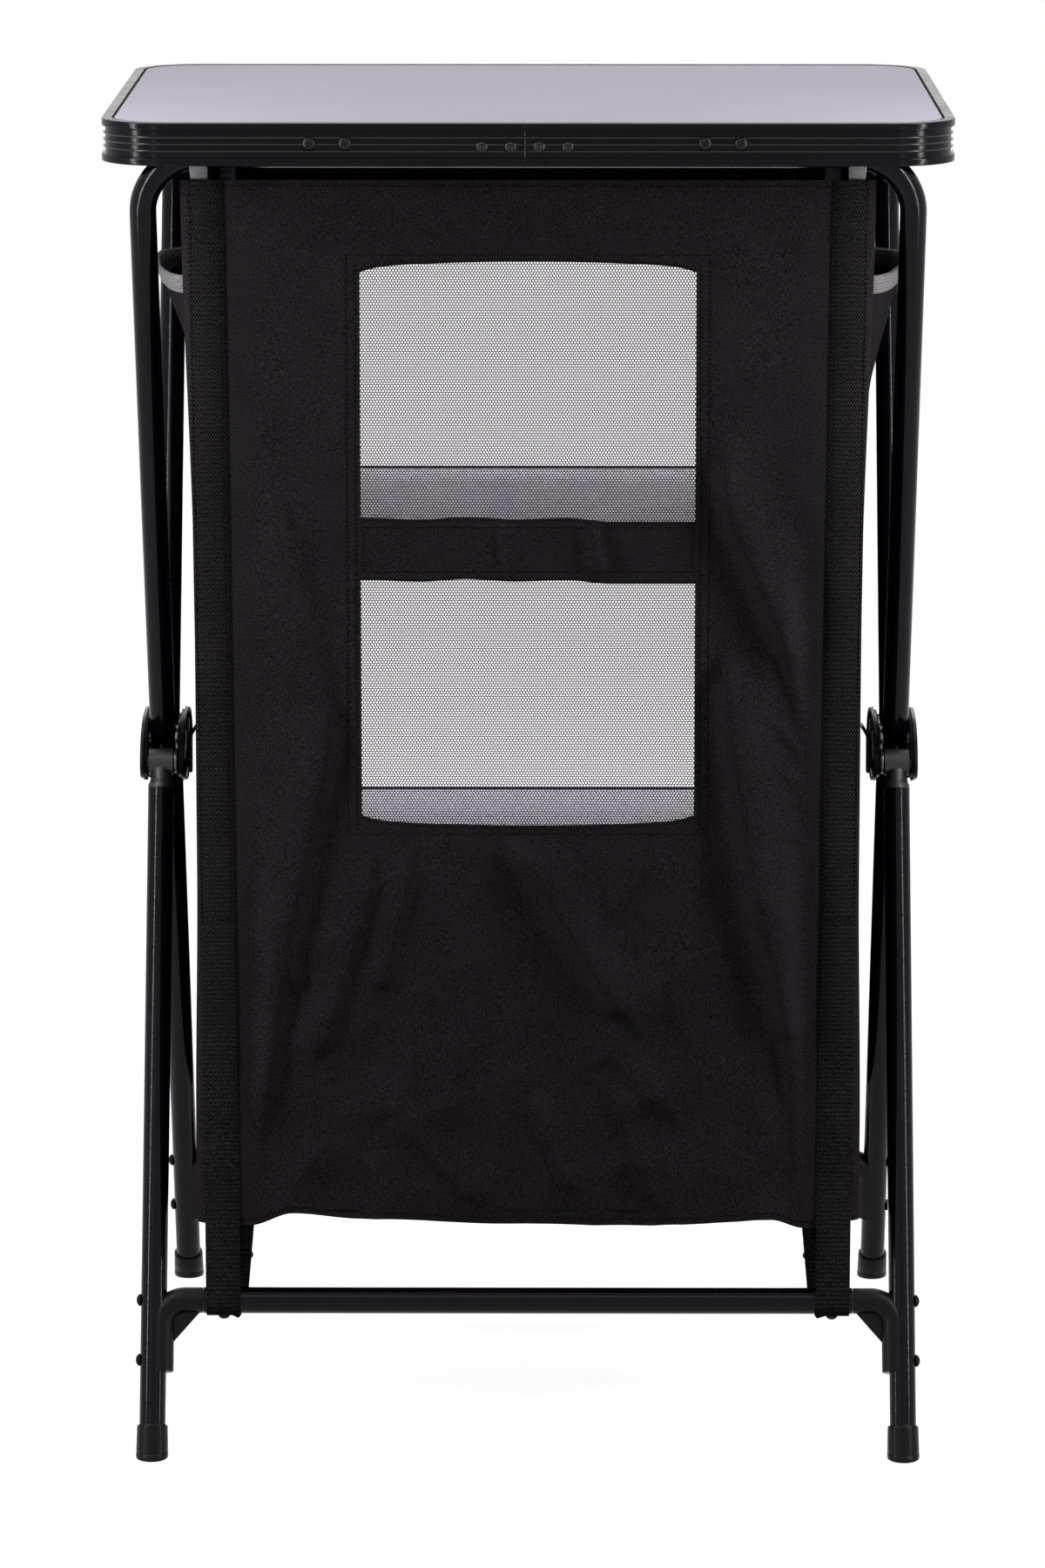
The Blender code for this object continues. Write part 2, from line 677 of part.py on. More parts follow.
def build_bar_seat(line, side):
    """A quarter-round block that rests on a bar, open inwards, with its two screws."""
    wall = TOP_HALF_Y - WALL_INNER - GAP
    high = TOP_HEIGHT - LEDGE_DROP - RIM_SHEET - 2 * GAP
    clear = TUBE_RADIUS + GAP
    outline = [(wall, high), (BAR_Y, high)]
    outline += arc(BAR_Y, BAR_Z, clear, 90, 0, BEND_STEPS)
    outline += [(BAR_Y + clear, BAR_Z - SEAT_SKIRT), (wall, BAR_Z - SEAT_SKIRT)]
    middle = JOINT_X + side * SEAT_SPREAD
    seat = bmesh.new()
    loft(seat, [[(x, line * y, z) for y, z in outline]
                for x in (middle - SEAT_LENGTH / 2, middle + SEAT_LENGTH / 2)])
    wide, tall = SEAT_SCREW_SHOULDER_SHARES
    profile = [(SEAT_SCREW_HEAD * SEAT_SCREW_CROWN_SHARE, SEAT_SCREW_HEIGHT),
               (SEAT_SCREW_HEAD * wide, SEAT_SCREW_HEIGHT * tall), (SEAT_SCREW_HEAD, 0),
               (SEAT_SCREW_SHANK, 0), (SEAT_SCREW_SHANK, wall - SEAT_SCREW_REACH - RIM_FACE_Y)]
    for half in (-1, 1):
        screw = bmesh.new()
        spot = Vector((middle + half * SEAT_SCREW_SPACING / 2, line * RIM_FACE_Y,
                       TOP_HEIGHT - SEAT_SCREW_DROP))
        turned(screw, profile, spot, Vector((0, line, 0)), SMALL_SIDES)
        seat = boolean(seat, screw, "UNION")
    finish("bar_seat_" + line_name(line) + "_" + side_name(side), seat, "black_plastic",
           (0, 0, BOARD_Z))


# Side hubs
def hub_outline():
    """The outline of a hub plate as (y, z), round from the top middle."""
    height = HUB_TOP_Z - HUB_BOTTOM_Z
    right = [(u * HUB_HALF, HUB_BOTTOM_Z + v * height) for u, v in HUB_OUTLINE_SHARES]
    return right + [(-y, z) for y, z in reversed(right[1:-1])]


def cross_pins():
    """Places of the four pins of a hub, as (y, z)."""
    return [(line * y, z) for line in (BACK_LINE, FRONT_LINE)
            for y, z in ((UPPER_PIVOT_Y, UPPER_PIVOT_Z), (LOWER_PIVOT_Y, LOWER_PIVOT_Z))]


def build_hub_plates(side):
    rim_line = hub_outline()
    inner_line = outset(rim_line, -HUB_RIM_WALL)
    faces = (("hub_plate_outer_", OUTER_PLATE_X, 1),
             ("hub_plate_inner_", INNER_PLATE_X, -1))
    for title, face, out in faces:
        plate = bmesh.new()
        depths = ((rim_line, 0), (rim_line, HUB_RIM_DEPTH),
                  (inner_line, HUB_RIM_DEPTH), (inner_line, HUB_SHEET))
        loft(plate, [[(side * (face + out * d), y, z) for y, z in line]
                     for line, d in depths])
        holes = bmesh.new()
        places = [(y, z, PIN_HOLE) for y, z in cross_pins()]
        if out < 0:
            places.append((0, LATCH_Z, LATCH_STUD_RADIUS + GAP))
        for y, z, radius in places:
            start = Vector((side * (face - out * OVERRUN), y, z))
            turned(holes, [(radius, 0), (radius, OVERRUN * 2 + HUB_RIM_DEPTH)],
                   start, Vector((side * out, 0, 0)))
        plate = boolean(plate, holes, "DIFFERENCE")
        finish(title + side_name(side), plate, "hub_steel")


def build_pins(side):
    """Pivot pins, each with the washer on it that stands between the plate and the tube."""
    low = INNER_PLATE_X - HUB_SHEET - GAP
    shoulder = INNER_PLATE_X + GAP
    high = OUTER_PLATE_X + HUB_SHEET + GAP
    profile = [(PIN_TAIL_RADIUS, low - PIN_TAIL_HEIGHT), (PIN_TAIL_RADIUS, low),
               (PIN_RADIUS, low), (PIN_RADIUS, shoulder), (WASHER_RADIUS, shoulder),
               (WASHER_RADIUS, shoulder + WASHER_THICK), (PIN_RADIUS, shoulder + WASHER_THICK),
               (PIN_RADIUS, high), (PIN_HEAD_RADIUS, high),
               (PIN_HEAD_RADIUS, high + PIN_HEAD_HEIGHT - PIN_CROWN),
               (PIN_HEAD_RADIUS - PIN_CROWN, high + PIN_HEAD_HEIGHT)]
    for y, z in cross_pins():
        pin = bmesh.new()
        turned(pin, profile, Vector((0, y, z)), Vector((side, 0, 0)))
        level = "upper" if z == UPPER_PIVOT_Z else "lower"
        line = BACK_LINE if y < 0 else FRONT_LINE
        name = "pivot_pin_" + level + "_" + line_name(line) + "_" + side_name(side)
        finish(name, pin, "screw_steel", (0, y, z))


def build_latch(side):
    """A sprung lever on the inner plate, with a flared finger tip and a stud as its pivot."""
    lever = bmesh.new()
    face = INNER_PLATE_X - HUB_RIM_DEPTH - LATCH_STAND_OFF
    back = face - LATCH_SHEET
    top = LATCH_Z + LATCH_HEIGHT
    rings = []
    for z, shift, half in ((LATCH_Z - LATCH_TAIL, 0, LATCH_HALF_WIDTH),
                           (top - LATCH_FLARE_HEIGHT, 0, LATCH_TIP_HALF_WIDTH),
                           (top, LATCH_FLARE, LATCH_TIP_HALF_WIDTH)):
        rings.append([(side * (x - shift), y, z)
                      for x, y in ((back, -half), (face, -half), (face, half), (back, half))])
    loft(lever, rings)
    stud = bmesh.new()
    turned(stud, [(LATCH_STUD_RADIUS, back + LATCH_SHEET / 2),
                  (LATCH_STUD_RADIUS, INNER_PLATE_X)],
           Vector((0, 0, LATCH_Z)), Vector((side, 0, 0)), SMALL_SIDES)
    lever = boolean(lever, stud, "UNION")
    finish("latch_" + side_name(side), lever, "hub_steel", (side * back, 0, LATCH_Z))


# Upper bows
def build_upper_bow(line):
    """A bent tube whose two ends are closed by rounded plugs just below its pivots."""
    link = upper_link(line)
    start, top = -BOW_TAIL, link.length
    bend_x, bend_run = TUBE_X - BOW_BEND, top - BOW_BEND
    bend = arc(bend_x, bend_run, BOW_BEND, 0, 90, BEND_STEPS)

    def swept(ends, bend_radius):
        half = ends + [(x, run, bend_radius) for x, run in bend]
        spots = half + [(-x, run, radius) for x, run, radius in reversed(half)]
        shape = bmesh.new()
        loft(shape, tube_rings([link.at(x, run) for x, run, _ in spots], link.flat,
                               [radius for _, _, radius in spots]))
        return shape

    plug = [(TUBE_X, start - PLUG_HEAD, PLUG_TIP_RADIUS),
            (TUBE_X, start - PLUG_HEAD / 2, TUBE_RADIUS)]
    bore = swept([(TUBE_X, start + PLUG_STEM, TUBE_BORE)], TUBE_BORE)
    bow = boolean(swept(plug, TUBE_RADIUS), bore, "DIFFERENCE")
    bow = boolean(bow, pivot_holes(link, TUBE_RADIUS), "DIFFERENCE")
    finish("upper_bow_" + line_name(line), bow, "tube_steel", link.pivot)


def pivot_holes(link, half_width, sides=(-1, 1)):
    """Cutters for the pins through both ends of a link."""
    holes = bmesh.new()
    for side in sides:
        start = link.pivot + Vector((side * (TUBE_X - half_width - OVERRUN), 0, 0))
        turned(holes, [(PIN_HOLE, 0), (PIN_HOLE, 2 * (half_width + OVERRUN))],
               start, Vector((side, 0, 0)))
    return holes


# Lower frames
def rivet_runs(link):
    return [link.run_at_height(z) for z in ELBOW_RIVET_HEIGHTS]


def rivet_holes(link, side):
    """Cutters for the rivets that pass a leg and end in the elbow."""
    holes = bmesh.new()
    low = TUBE_INNER_X - ELBOW_RIVET_SINK - 2 * GAP
    for run in rivet_runs(link):
        turned(holes, [(ELBOW_RIVET_SHANK + GAP, low),
                       (ELBOW_RIVET_SHANK + GAP, TUBE_OUTER_X + OVERRUN)],
               link.at(0, run), Vector((side, 0, 0)), SMALL_SIDES)
    return holes


def build_leg(line, side):
    link = lower_link(line)
    leg = bmesh.new()
    ends = (NECK_LENGTH + GAP, link.length - FOOT_SOLE)
    hollow_tube(leg, [link.at(side * TUBE_X, run) for run in ends], link.flat,
                TUBE_RADIUS, TUBE_BORE)
    leg = boolean(leg, rivet_holes(link, side), "DIFFERENCE")
    name = "leg_" + line_name(line) + "_" + side_name(side)
    finish(name, leg, "tube_steel", link.pivot)


def build_knuckle(line, side):
    """The cast end of a leg: a barrel on the pin, a waisted neck and a spigot."""
    link = lower_link(line)
    barrel = bmesh.new()
    turned(barrel, [(KNUCKLE_RADIUS, TUBE_INNER_X), (KNUCKLE_RADIUS, TUBE_OUTER_X)],
           link.pivot, Vector((side, 0, 0)))
    neck = bmesh.new()
    profile = [(TUBE_BORE, NECK_LENGTH * NECK_ROOT_SHARE),
               (NECK_WAIST, NECK_LENGTH * NECK_WAIST_SHARE),
               (TUBE_RADIUS, NECK_LENGTH * NECK_COLLAR_SHARE), (TUBE_RADIUS, NECK_LENGTH),
               (SPIGOT_RADIUS, NECK_LENGTH), (SPIGOT_RADIUS, NECK_LENGTH + SPIGOT_LENGTH)]
    turned(neck, profile, link.at(side * TUBE_X, 0), link.along)
    knuckle = boolean(barrel, neck, "UNION")
    knuckle = boolean(knuckle, pivot_holes(link, TUBE_RADIUS, (side,)), "DIFFERENCE")
    finish("knuckle_" + line_name(line) + "_" + side_name(side), knuckle, "cast_grey",
           link.pivot)


def build_crossbar(line):
    link = lower_link(line)
    run = link.run_at_height(CROSSBAR_Z)
    half = CROSSBAR_HALF - GAP
    bar = bmesh.new()
    hollow_tube(bar, [link.at(-half, run), link.at(half, run)], link.flat,
                TUBE_RADIUS, TUBE_BORE)
    finish("crossbar_" + line_name(line), bar, "tube_steel", link.pivot)


def build_elbow(line, side):
    """A moulded elbow from the crossbar down along the leg, with its two rivets."""
    link = lower_link(line)
    run = link.run_at_height(CROSSBAR_Z)
    end = link.run_at_height(ELBOW_END_Z)
    down_x = TUBE_X - ELBOW_INSET
    spots = [(CROSSBAR_HALF - SPIGOT_LENGTH, run, SPIGOT_RADIUS),
             (CROSSBAR_HALF, run, SPIGOT_RADIUS), (CROSSBAR_HALF, run, ELBOW_RADIUS)]
    spots += [(x, s, ELBOW_RADIUS) for x, s in
              arc(down_x - ELBOW_BEND, run + ELBOW_BEND, ELBOW_BEND, -90, 0, BEND_STEPS)]
    spots.append((down_x, end, ELBOW_RADIUS))
    path = [link.at(side * x, s) for x, s, _ in spots]
    path_without_step = path[:1] + path[2:]
    rings = tube_rings(path_without_step, link.flat, [r for _, _, r in spots[:1] + spots[2:]])
    step = tube_rings(path[:1] + path[2:3], link.flat, [SPIGOT_RADIUS, SPIGOT_RADIUS])
    elbow = bmesh.new()
    loft(elbow, step + rings[1:])

    web = bmesh.new()
    edge = run + ELBOW_RADIUS - GUSSET_SINK
    wall = down_x - ELBOW_RADIUS + GUSSET_SINK
    corner = ELBOW_BEND - ELBOW_RADIUS + GUSSET_SINK
    outline = [(wall - corner - GUSSET_LEG, edge), (wall, edge),
               (wall, edge + corner + GUSSET_LEG),
               (wall - GUSSET_SINK, edge + corner + GUSSET_LEG)]
    loft(web, [[link.at(side * x, s, off) for x, s in outline]
               for off in (-GUSSET_THICK / 2, GUSSET_THICK / 2)])
    elbow = boolean(elbow, web, "UNION")

    saddle = bmesh.new()
    clear = TUBE_RADIUS + GAP
    turned(saddle, [(clear, run - 2 * ELBOW_BEND), (clear, end + OVERRUN)],
           link.at(side * TUBE_X, 0), link.along)
    elbow = boolean(elbow, saddle, "DIFFERENCE")
    for run_of_rivet in rivet_runs(link):
        elbow = boolean(elbow, elbow_rivet(link, side, run_of_rivet), "UNION")
    finish("elbow_" + line_name(line) + "_" + side_name(side), elbow, "black_plastic",
           link.pivot)


def elbow_rivet(link, side, run):
    """A dome-headed rivet from the leg's outer side into the elbow."""
    rivet = bmesh.new()
    start = TUBE_OUTER_X + GAP
    low = TUBE_INNER_X - ELBOW_RIVET_SINK
    profile = [(ELBOW_RIVET_SHANK, low), (ELBOW_RIVET_SHANK, start)]
    profile += [(ELBOW_RIVET_RADIUS * math.cos(a), start + ELBOW_RIVET_HEIGHT * math.sin(a))
                for a in (0, math.radians(40), math.radians(75))]
    turned(rivet, profile, link.at(0, run), Vector((side, 0, 0)), SMALL_SIDES)
    return rivet


def build_foot(line, side):
    """A tapered cap over the leg's end, cut level with the floor."""
    link = lower_link(line)
    bore = TUBE_RADIUS + GAP
    top = link.run_at_height(FOOT_HEIGHT)
    sole = link.length - FOOT_SOLE + GAP
    x_way, flat = Vector((1, 0, 0)), link.flat

    def ring(run, radius):
        return ring_points(link.at(side * TUBE_X, run), x_way, flat, radius, TUBE_SIDES)

    base = [point - link.along * (point.z / link.along.z)
            for point in ring(link.length, FOOT_BASE_RADIUS)]
    foot = bmesh.new()
    loft(foot, [base, ring(top, FOOT_TOP_RADIUS), ring(top, bore), ring(sole, bore)])
    finish("foot_" + line_name(line) + "_" + side_name(side), foot, "black_plastic",
           link.pivot)


# Fabric cupboard
def half_width(z):
    """The outer half width of the cloth box at a height: a slight waist."""
    high = smooth((z - WAIST_HIGH_Z) / (CLOTH_TOP_Z - WAIST_HIGH_Z))
    low = smooth((WAIST_LOW_Z - z) / (WAIST_LOW_Z - LOW_Z))
    return HALF_WAIST + (HALF_TOP - HALF_WAIST) * high + (HALF_LOW - HALF_WAIST) * low


def back_plane(z):
    """Y of the back cloth's outer side, which is drawn out to the bar near its top."""
    share = (z - BACK_LEAN_Z) / (CLOTH_TOP_Z - BACK_LEAN_Z)
    return -BACK_Y - BACK_LEAN * smooth(share)


def back_folds(x, z):
    """How far the folds of the back cloth stand out at a place."""
    total = 0.0
    height = CLOTH_TOP_Z - HEM_Z
    spot = Vector((x, z))
    for u0, v0, u1, v1, share in FOLD_SHARES:
        start = Vector((u0 * HALF_WAIST, HEM_Z + v0 * height))
        end = Vector((u1 * HALF_WAIST, HEM_Z + v1 * height))
        run = end - start
        along = min(max((spot - start).dot(run) / run.length_squared, 0), 1)
        away = (spot - start - run * along).length / FOLD_WIDTH
        fade = math.sin(math.pi * min(max(along, FOLD_END_SHARE), 1 - FOLD_END_SHARE))
        total += share * FOLD_HEIGHT * fade * math.exp(-away * away)
    room = smooth((FOLD_LIMIT - abs(x)) / FOLD_FADE)
    beside = (abs(x) - WINDOW_HALF) / FOLD_FADE - FOLD_START_SHARE
    below = (LOWER_WINDOW_LOW_Z - z) / FOLD_FADE - FOLD_START_SHARE
    return total * room * max(smooth(beside), smooth(below))


def window_drop(x):
    """How far the curved edge of a window lies from its middle height."""
    return WINDOW_CURVE * min(1, (x / WINDOW_HALF) ** 2)


def hem_rise(x):
    """How far the back cloth's lower edge lies above the plain hem."""
    u = x / HALF_WAIST
    for (u0, rise0), (u1, rise1) in zip(HEM_SHARES, HEM_SHARES[1:]):
        if u <= u1:
            return HEM_WAVE * (rise0 + (rise1 - rise0) * smooth((u - u0) / (u1 - u0)))
    return HEM_WAVE * HEM_SHARES[-1][1]


def back_rows():
    """Heights of the back cloth's rows, and which rows bound the two windows."""
    borders = ((HEM_Z, 7), (LOWER_WINDOW_LOW_Z, 4), (LOWER_WINDOW_HIGH_Z, 1),
               (UPPER_WINDOW_LOW_Z, 4), (UPPER_WINDOW_HIGH_Z, 1), (BACK_LEAN_Z, 3),
               (CLOTH_TOP_Z, 0))
    rows, marks = [], {}
    for (low, steps), (high, _) in zip(borders, borders[1:]):
        marks[low] = len(rows)
        rows += spread(low, high, steps)[:-1]
    rows.append(CLOTH_TOP_Z)
    return rows, marks


def back_columns(z):
    """Places of the back cloth's columns at a height."""
    seam = half_width(z) - SEAM_INSET - GAP / 2
    side = [WINDOW_HALF] + spread(WINDOW_HALF, FOLD_LIMIT, 4)[1:] + [seam]
    middle = spread(-WINDOW_HALF, WINDOW_HALF, 6)
    return [-x for x in reversed(side[1:])] + middle + side[1:]


def build_back_panel():
    rows, marks = back_rows()
    outer, inner = [], []
    for row, z in enumerate(rows):
        front, back = [], []
        for column, x in enumerate(back_columns(z)):
            at = z
            if row == marks[UPPER_WINDOW_HIGH_Z]:
                at -= window_drop(x)
            if row == marks[LOWER_WINDOW_LOW_Z]:
                at += window_drop(x)
            if row == 0:
                at += hem_rise(x)
            y = back_plane(z) - back_folds(x, at)
            front.append((x, y, at))
            back.append((x, y + FABRIC, at))
        outer.append(front)
        inner.append(back)
    side_columns = (len(outer[0]) - 7) // 2
    spans = ((marks[LOWER_WINDOW_LOW_Z], marks[LOWER_WINDOW_HIGH_Z]),
             (marks[UPPER_WINDOW_LOW_Z], marks[UPPER_WINDOW_HIGH_Z]))

    def is_window(row, column):
        inside = side_columns <= column < len(outer[0]) - 1 - side_columns
        return inside and any(low <= row < high for low, high in spans)

    panel = bmesh.new()
    cloth(panel, outer, inner, is_window)
    finish("back_panel", panel, "fabric_black")


def build_window_mesh():
    """One flat mesh pane sewn inside the back cloth, a little larger than both windows."""
    half = WINDOW_HALF + WINDOW_OVERLAP
    y = -BACK_Y + FABRIC + GAP
    pane = bmesh.new()
    box(pane, (-half, y, LOWER_WINDOW_LOW_Z - WINDOW_OVERLAP),
        (half, y + MESH_THICK, UPPER_WINDOW_HIGH_Z + WINDOW_OVERLAP))
    finish("window_mesh", pane, "mesh_black")


def build_side_panel(side):
    """A side of the box, with the rounded corner that it shares with the back."""
    outer, inner = [], []
    heights = spread(HEM_Z, BACK_LEAN_Z, 14) + spread(BACK_LEAN_Z, CLOTH_TOP_Z, 3)[1:]
    for z in heights:
        half, back = half_width(z), back_plane(z)
        seam = half - SEAM_INSET + GAP / 2
        row = [(seam, back, 0, -1)]
        for i in range(4):
            angle = math.radians(-90 + 90 * i / 3)
            u, v = math.cos(angle), math.sin(angle)
            x = half - CORNER_RADIUS + CORNER_RADIUS * u
            if i == 0:
                x = max(x, seam + GAP)
            row.append((x, back + CORNER_RADIUS * (1 + v), u, v))
        for y in spread(back + CORNER_RADIUS, FRONT_Y, 3)[1:]:
            row.append((half, y, 1, 0))
        outer.append([(side * x, y, z) for x, y, u, v in row])
        inner.append([(side * (x - FABRIC * u), y - FABRIC * v, z) for x, y, u, v in row])
    panel = bmesh.new()
    cloth(panel, outer, inner)
    finish("side_panel_" + side_name(side), panel, "fabric_black")


def face_outer(line, z):
    """Y of the outer side of the back cloth or of the front header."""
    return back_plane(z) if line == BACK_LINE else HEADER_OUTER_Y


def webbing_x(z):
    """The middle of the webbing at a height: it leans in a little towards the crossbar."""
    share = (CLOTH_TOP_Z - z) / (CLOTH_TOP_Z - CROSSBAR_Z)
    return WEBBING_TOP_X + (WEBBING_LOW_X - WEBBING_TOP_X) * min(max(share, 0), 1)


def crossbar_centre():
    """Distance of the crossbar from the middle plane, and its height."""
    spot = lower_link(FRONT_LINE).at(0, lower_link(FRONT_LINE).run_at_height(CROSSBAR_Z))
    return spot.y, spot.z


def build_webbing(line, side):
    """A strip sewn down the cloth, then free, round under the crossbar and up to the floor."""
    off = GAP + WEBBING_THICK / 2
    half, narrow = WEBBING_WIDTH / 2, STRAP_WIDTH / 2
    bar_y, bar_z = crossbar_centre()
    heights = spread(CLOTH_TOP_Z, BACK_LEAN_Z, 3) + [WEBBING_FREE_Z]
    spots = [(line * (abs(face_outer(line, z)) + off), z, side * webbing_x(z), half)
             for z in heights]
    spots += [(line * y, z, side * WEBBING_LOW_X, half) for y, z in
              arc(bar_y, bar_z, TUBE_RADIUS + off, 0, -90, BEND_STEPS)]
    turn_up = arc(bar_y, bar_z, TUBE_RADIUS + off, -90, -180, BEND_STEPS)
    for i, (y, z) in enumerate(turn_up[1:], 1):
        share = smooth(i / BEND_STEPS)
        x = WEBBING_LOW_X + (STRAP_X - WEBBING_LOW_X) * share
        spots.append((line * y, z, side * x, half + (narrow - half) * share))
    inner = BACK_Y - FABRIC - off - OVERRUN
    spots.append((line * inner, FLOOR_Z - 2 * GAP, side * STRAP_X, narrow))
    tape = bmesh.new()
    strip(tape, spots, WEBBING_THICK)
    finish("webbing_" + line_name(line) + "_" + side_name(side), tape, "webbing_black")


def build_hanger_loops(line):
    """A tape inside the cloth's top edge with two loops that go over the bar."""
    over = TUBE_RADIUS + LOOP_SLACK + WEBBING_THICK / 2

    def leg(depth, heights):
        off = FABRIC + GAP + WEBBING_THICK / 2 + depth
        return [(line * (abs(face_outer(line, min(z, CLOTH_TOP_Z))) - off), z)
                for z in heights]

    heights = spread(CLOTH_TOP_Z + 2 * GAP, BACK_LEAN_Z, 3) + [LOOP_LOW_Z]
    inner, outer = leg(WEBBING_THICK + GAP, heights), leg(0, heights)
    start = tangent_angle((line * inner[0][0], inner[0][1]), BAR_Y, BAR_Z, over, -1) % 360
    end = tangent_angle((line * outer[0][0], outer[0][1]), BAR_Y, BAR_Z, over, 1)
    path = list(reversed(inner))
    path += [(line * y, z) for y, z in arc(BAR_Y, BAR_Z, over, start, end, 2 * BEND_STEPS)]
    path += outer
    tape = bmesh.new()
    tape_path = leg(0, spread(CLOTH_TOP_Z - GAP, BACK_LEAN_Z, 3)[:3])
    strip(tape, [(y, z, 0, LOOP_X) for y, z in tape_path], TAPE_THICK)
    for side in (-1, 1):
        loop = bmesh.new()
        strip(loop, [(y, z, side * LOOP_X, LOOP_WIDTH / 2) for y, z in path], WEBBING_THICK)
        tape = boolean(tape, loop, "UNION")
    finish("hanger_loops_" + line_name(line), tape, "binding_grey")


def tray_outline(half, back, front):
    """A board's outline inside the box, with corners that follow the box's at the back."""
    radius = CORNER_RADIUS
    right = arc(half - radius, back + radius, radius, -90, 0, CORNER_STEPS) + [(half, front)]
    return right + [(-x, y) for x, y in reversed(right)]


def build_shelves():
    """Loose-edged boards across the box, turning on the middle line when it folds."""
    for name, top in (("shelf_upper", SHELF_HIGH_Z), ("shelf_lower", SHELF_LOW_Z)):
        half = min(half_width(z) for z in (top, top - SHELF_THICK, WAIST_HIGH_Z))
        outline = tray_outline(half - FABRIC - GAP, -BACK_Y + FABRIC + SHELF_BACK_GAP,
                               FRONT_Y - SHELF_FRONT_INSET)
        board = bmesh.new()
        loft(board, [[(x, y, z) for x, y in outline] for z in (top - SHELF_THICK, top)])
        finish(name, board, "shelf_grey", (0, 0, top))


def build_floor():
    outline = tray_outline(half_width(FLOOR_Z) - FABRIC - GAP, -BACK_Y + FABRIC + GAP,
                           FRONT_Y - FLOOR_FRONT_INSET)
    panel = bmesh.new()
    loft(panel, [[(x, y, z) for x, y in outline] for z in (FLOOR_Z, FLOOR_Z + FLOOR_THICK)])
    finish("cabinet_floor", panel, "fabric_black")


def build_header_and_roll():
    """The cloth above the door opening, its two ties and the rolled door that they hold."""
    header = bmesh.new()
    rings = []
    for z in spread(HEADER_LOW_Z, CLOTH_TOP_Z, 3):
        half = half_width(z)
        rings.append([(-half, FRONT_Y + GAP, z), (half, FRONT_Y + GAP, z),
                      (half, HEADER_OUTER_Y, z), (-half, HEADER_OUTER_Y, z)])
    loft(header, rings)
    roll_y = HEADER_OUTER_Y + GAP + WEBBING_THICK + ROLL_RADIUS - TIE_SINK
    roll_z = ROLL_LOW_Z + ROLL_RADIUS
    for x in (-TIE_X, TIE_X):
        tie = bmesh.new()
        inside = ROLL_RADIUS + GAP
        turned(tie, [(inside, -TIE_WIDTH / 2), (inside + WEBBING_THICK, -TIE_WIDTH / 2),
                     (inside + WEBBING_THICK, TIE_WIDTH / 2), (inside, TIE_WIDTH / 2)],
               Vector((x, roll_y, roll_z)), Vector((1, 0, 0)), 2 * TUBE_SIDES, closed=True)
        header = boolean(header, tie, "UNION")
    finish("front_header", header, "fabric_black")

    roll = bmesh.new()
    turned(roll, [(ROLL_RADIUS, -ROLL_HALF), (ROLL_RADIUS, ROLL_HALF)],
           Vector((0, roll_y, roll_z)), Vector((1, 0, 0)), 2 * TUBE_SIDES)
    finish("rolled_door", roll, "fabric_black")


def pocket_surface(side, off, rows):
    """A grid on a pocket's outer skin, moved off it by a distance, for the given heights."""
    low = POCKET_LOW_Z[side]
    bow = upper_link(FRONT_LINE)
    reaches = [bow.at(0, bow.run_at_height(z)).y - clear for z, clear in
               ((POCKET_LOW_Z[1], POCKET_LOW_CLEAR), (POCKET_TOP_Z, POCKET_TOP_CLEAR))]
    grid = []
    for z in rows:
        share = (z - low) / (POCKET_TOP_Z - low)
        reach = reaches[0] + (reaches[1] - reaches[0]) * share
        row = []
        for u in spread(-1, 1, POCKET_COLUMNS):
            crown = max(1 - u * u, 0) ** POCKET_CROWN_POWER
            bulge = POCKET_BULGE * smooth(share * 0.5) * 2 * crown
            row.append((side * (half_width(z) + GAP + bulge + off), u * reach, z))
        grid.append(row)
    return grid


def build_pocket(side):
    edge = POCKET_TOP_Z - POCKET_BINDING
    rows = spread(POCKET_LOW_Z[side], edge, POCKET_ROWS) + [POCKET_TOP_Z]
    skin = bmesh.new()
    cloth(skin, pocket_surface(side, FABRIC, rows), pocket_surface(side, 0, rows))
    finish("pocket_" + side_name(side), skin, "fabric_black")

    band = bmesh.new()
    start = FABRIC + GAP
    cloth(band, pocket_surface(side, start + WEBBING_THICK, rows[-2:]),
          pocket_surface(side, start, rows[-2:]))
    finish("pocket_binding_" + side_name(side), band, "binding_grey")


for old in list(bpy.data.objects):
    bpy.data.objects.remove(old)

LOOKS = {
    "laminate": material("laminate", (0.66, 0.66, 0.65), 0.45),
    "rim_metal": material("rim_metal", (0.03, 0.03, 0.03), 0.45, 0.6),
    "tube_steel": material("tube_steel", (0.03, 0.03, 0.032), 0.4, 0.3),
    "hub_steel": material("hub_steel", (0.035, 0.035, 0.036), 0.45, 0.5),
    "cast_grey": material("cast_grey", (0.25, 0.26, 0.27), 0.5, 0.6),
    "black_plastic": material("black_plastic", (0.02, 0.02, 0.02), 0.5),
    "fabric_black": material("fabric_black", (0.02, 0.02, 0.022), 0.85),
    "mesh_black": material("mesh_black", (0.03, 0.03, 0.032), 0.9),
    "webbing_black": material("webbing_black", (0.025, 0.025, 0.027), 0.8),
    "binding_grey": material("binding_grey", (0.32, 0.32, 0.33), 0.8),
    "screw_steel": material("screw_steel", (0.55, 0.55, 0.56), 0.3, 1.0),
    "shelf_grey": material("shelf_grey", (0.55, 0.55, 0.55), 0.5),
}

build_tabletop()
build_joint_plate()
build_back_panel()
build_window_mesh()
build_shelves()
build_floor()
build_header_and_roll()
for line in (BACK_LINE, FRONT_LINE):
    build_upper_bow(line)
    build_crossbar(line)
    build_hanger_loops(line)
    for side in (-1, 1):
        build_bar_seat(line, side)
        build_knuckle(line, side)
        build_leg(line, side)
        build_elbow(line, side)
        build_foot(line, side)
        build_webbing(line, side)
for side in (-1, 1):
    build_hub_plates(side)
    build_pins(side)
    build_latch(side)
    build_side_panel(side)
    build_pocket(side)
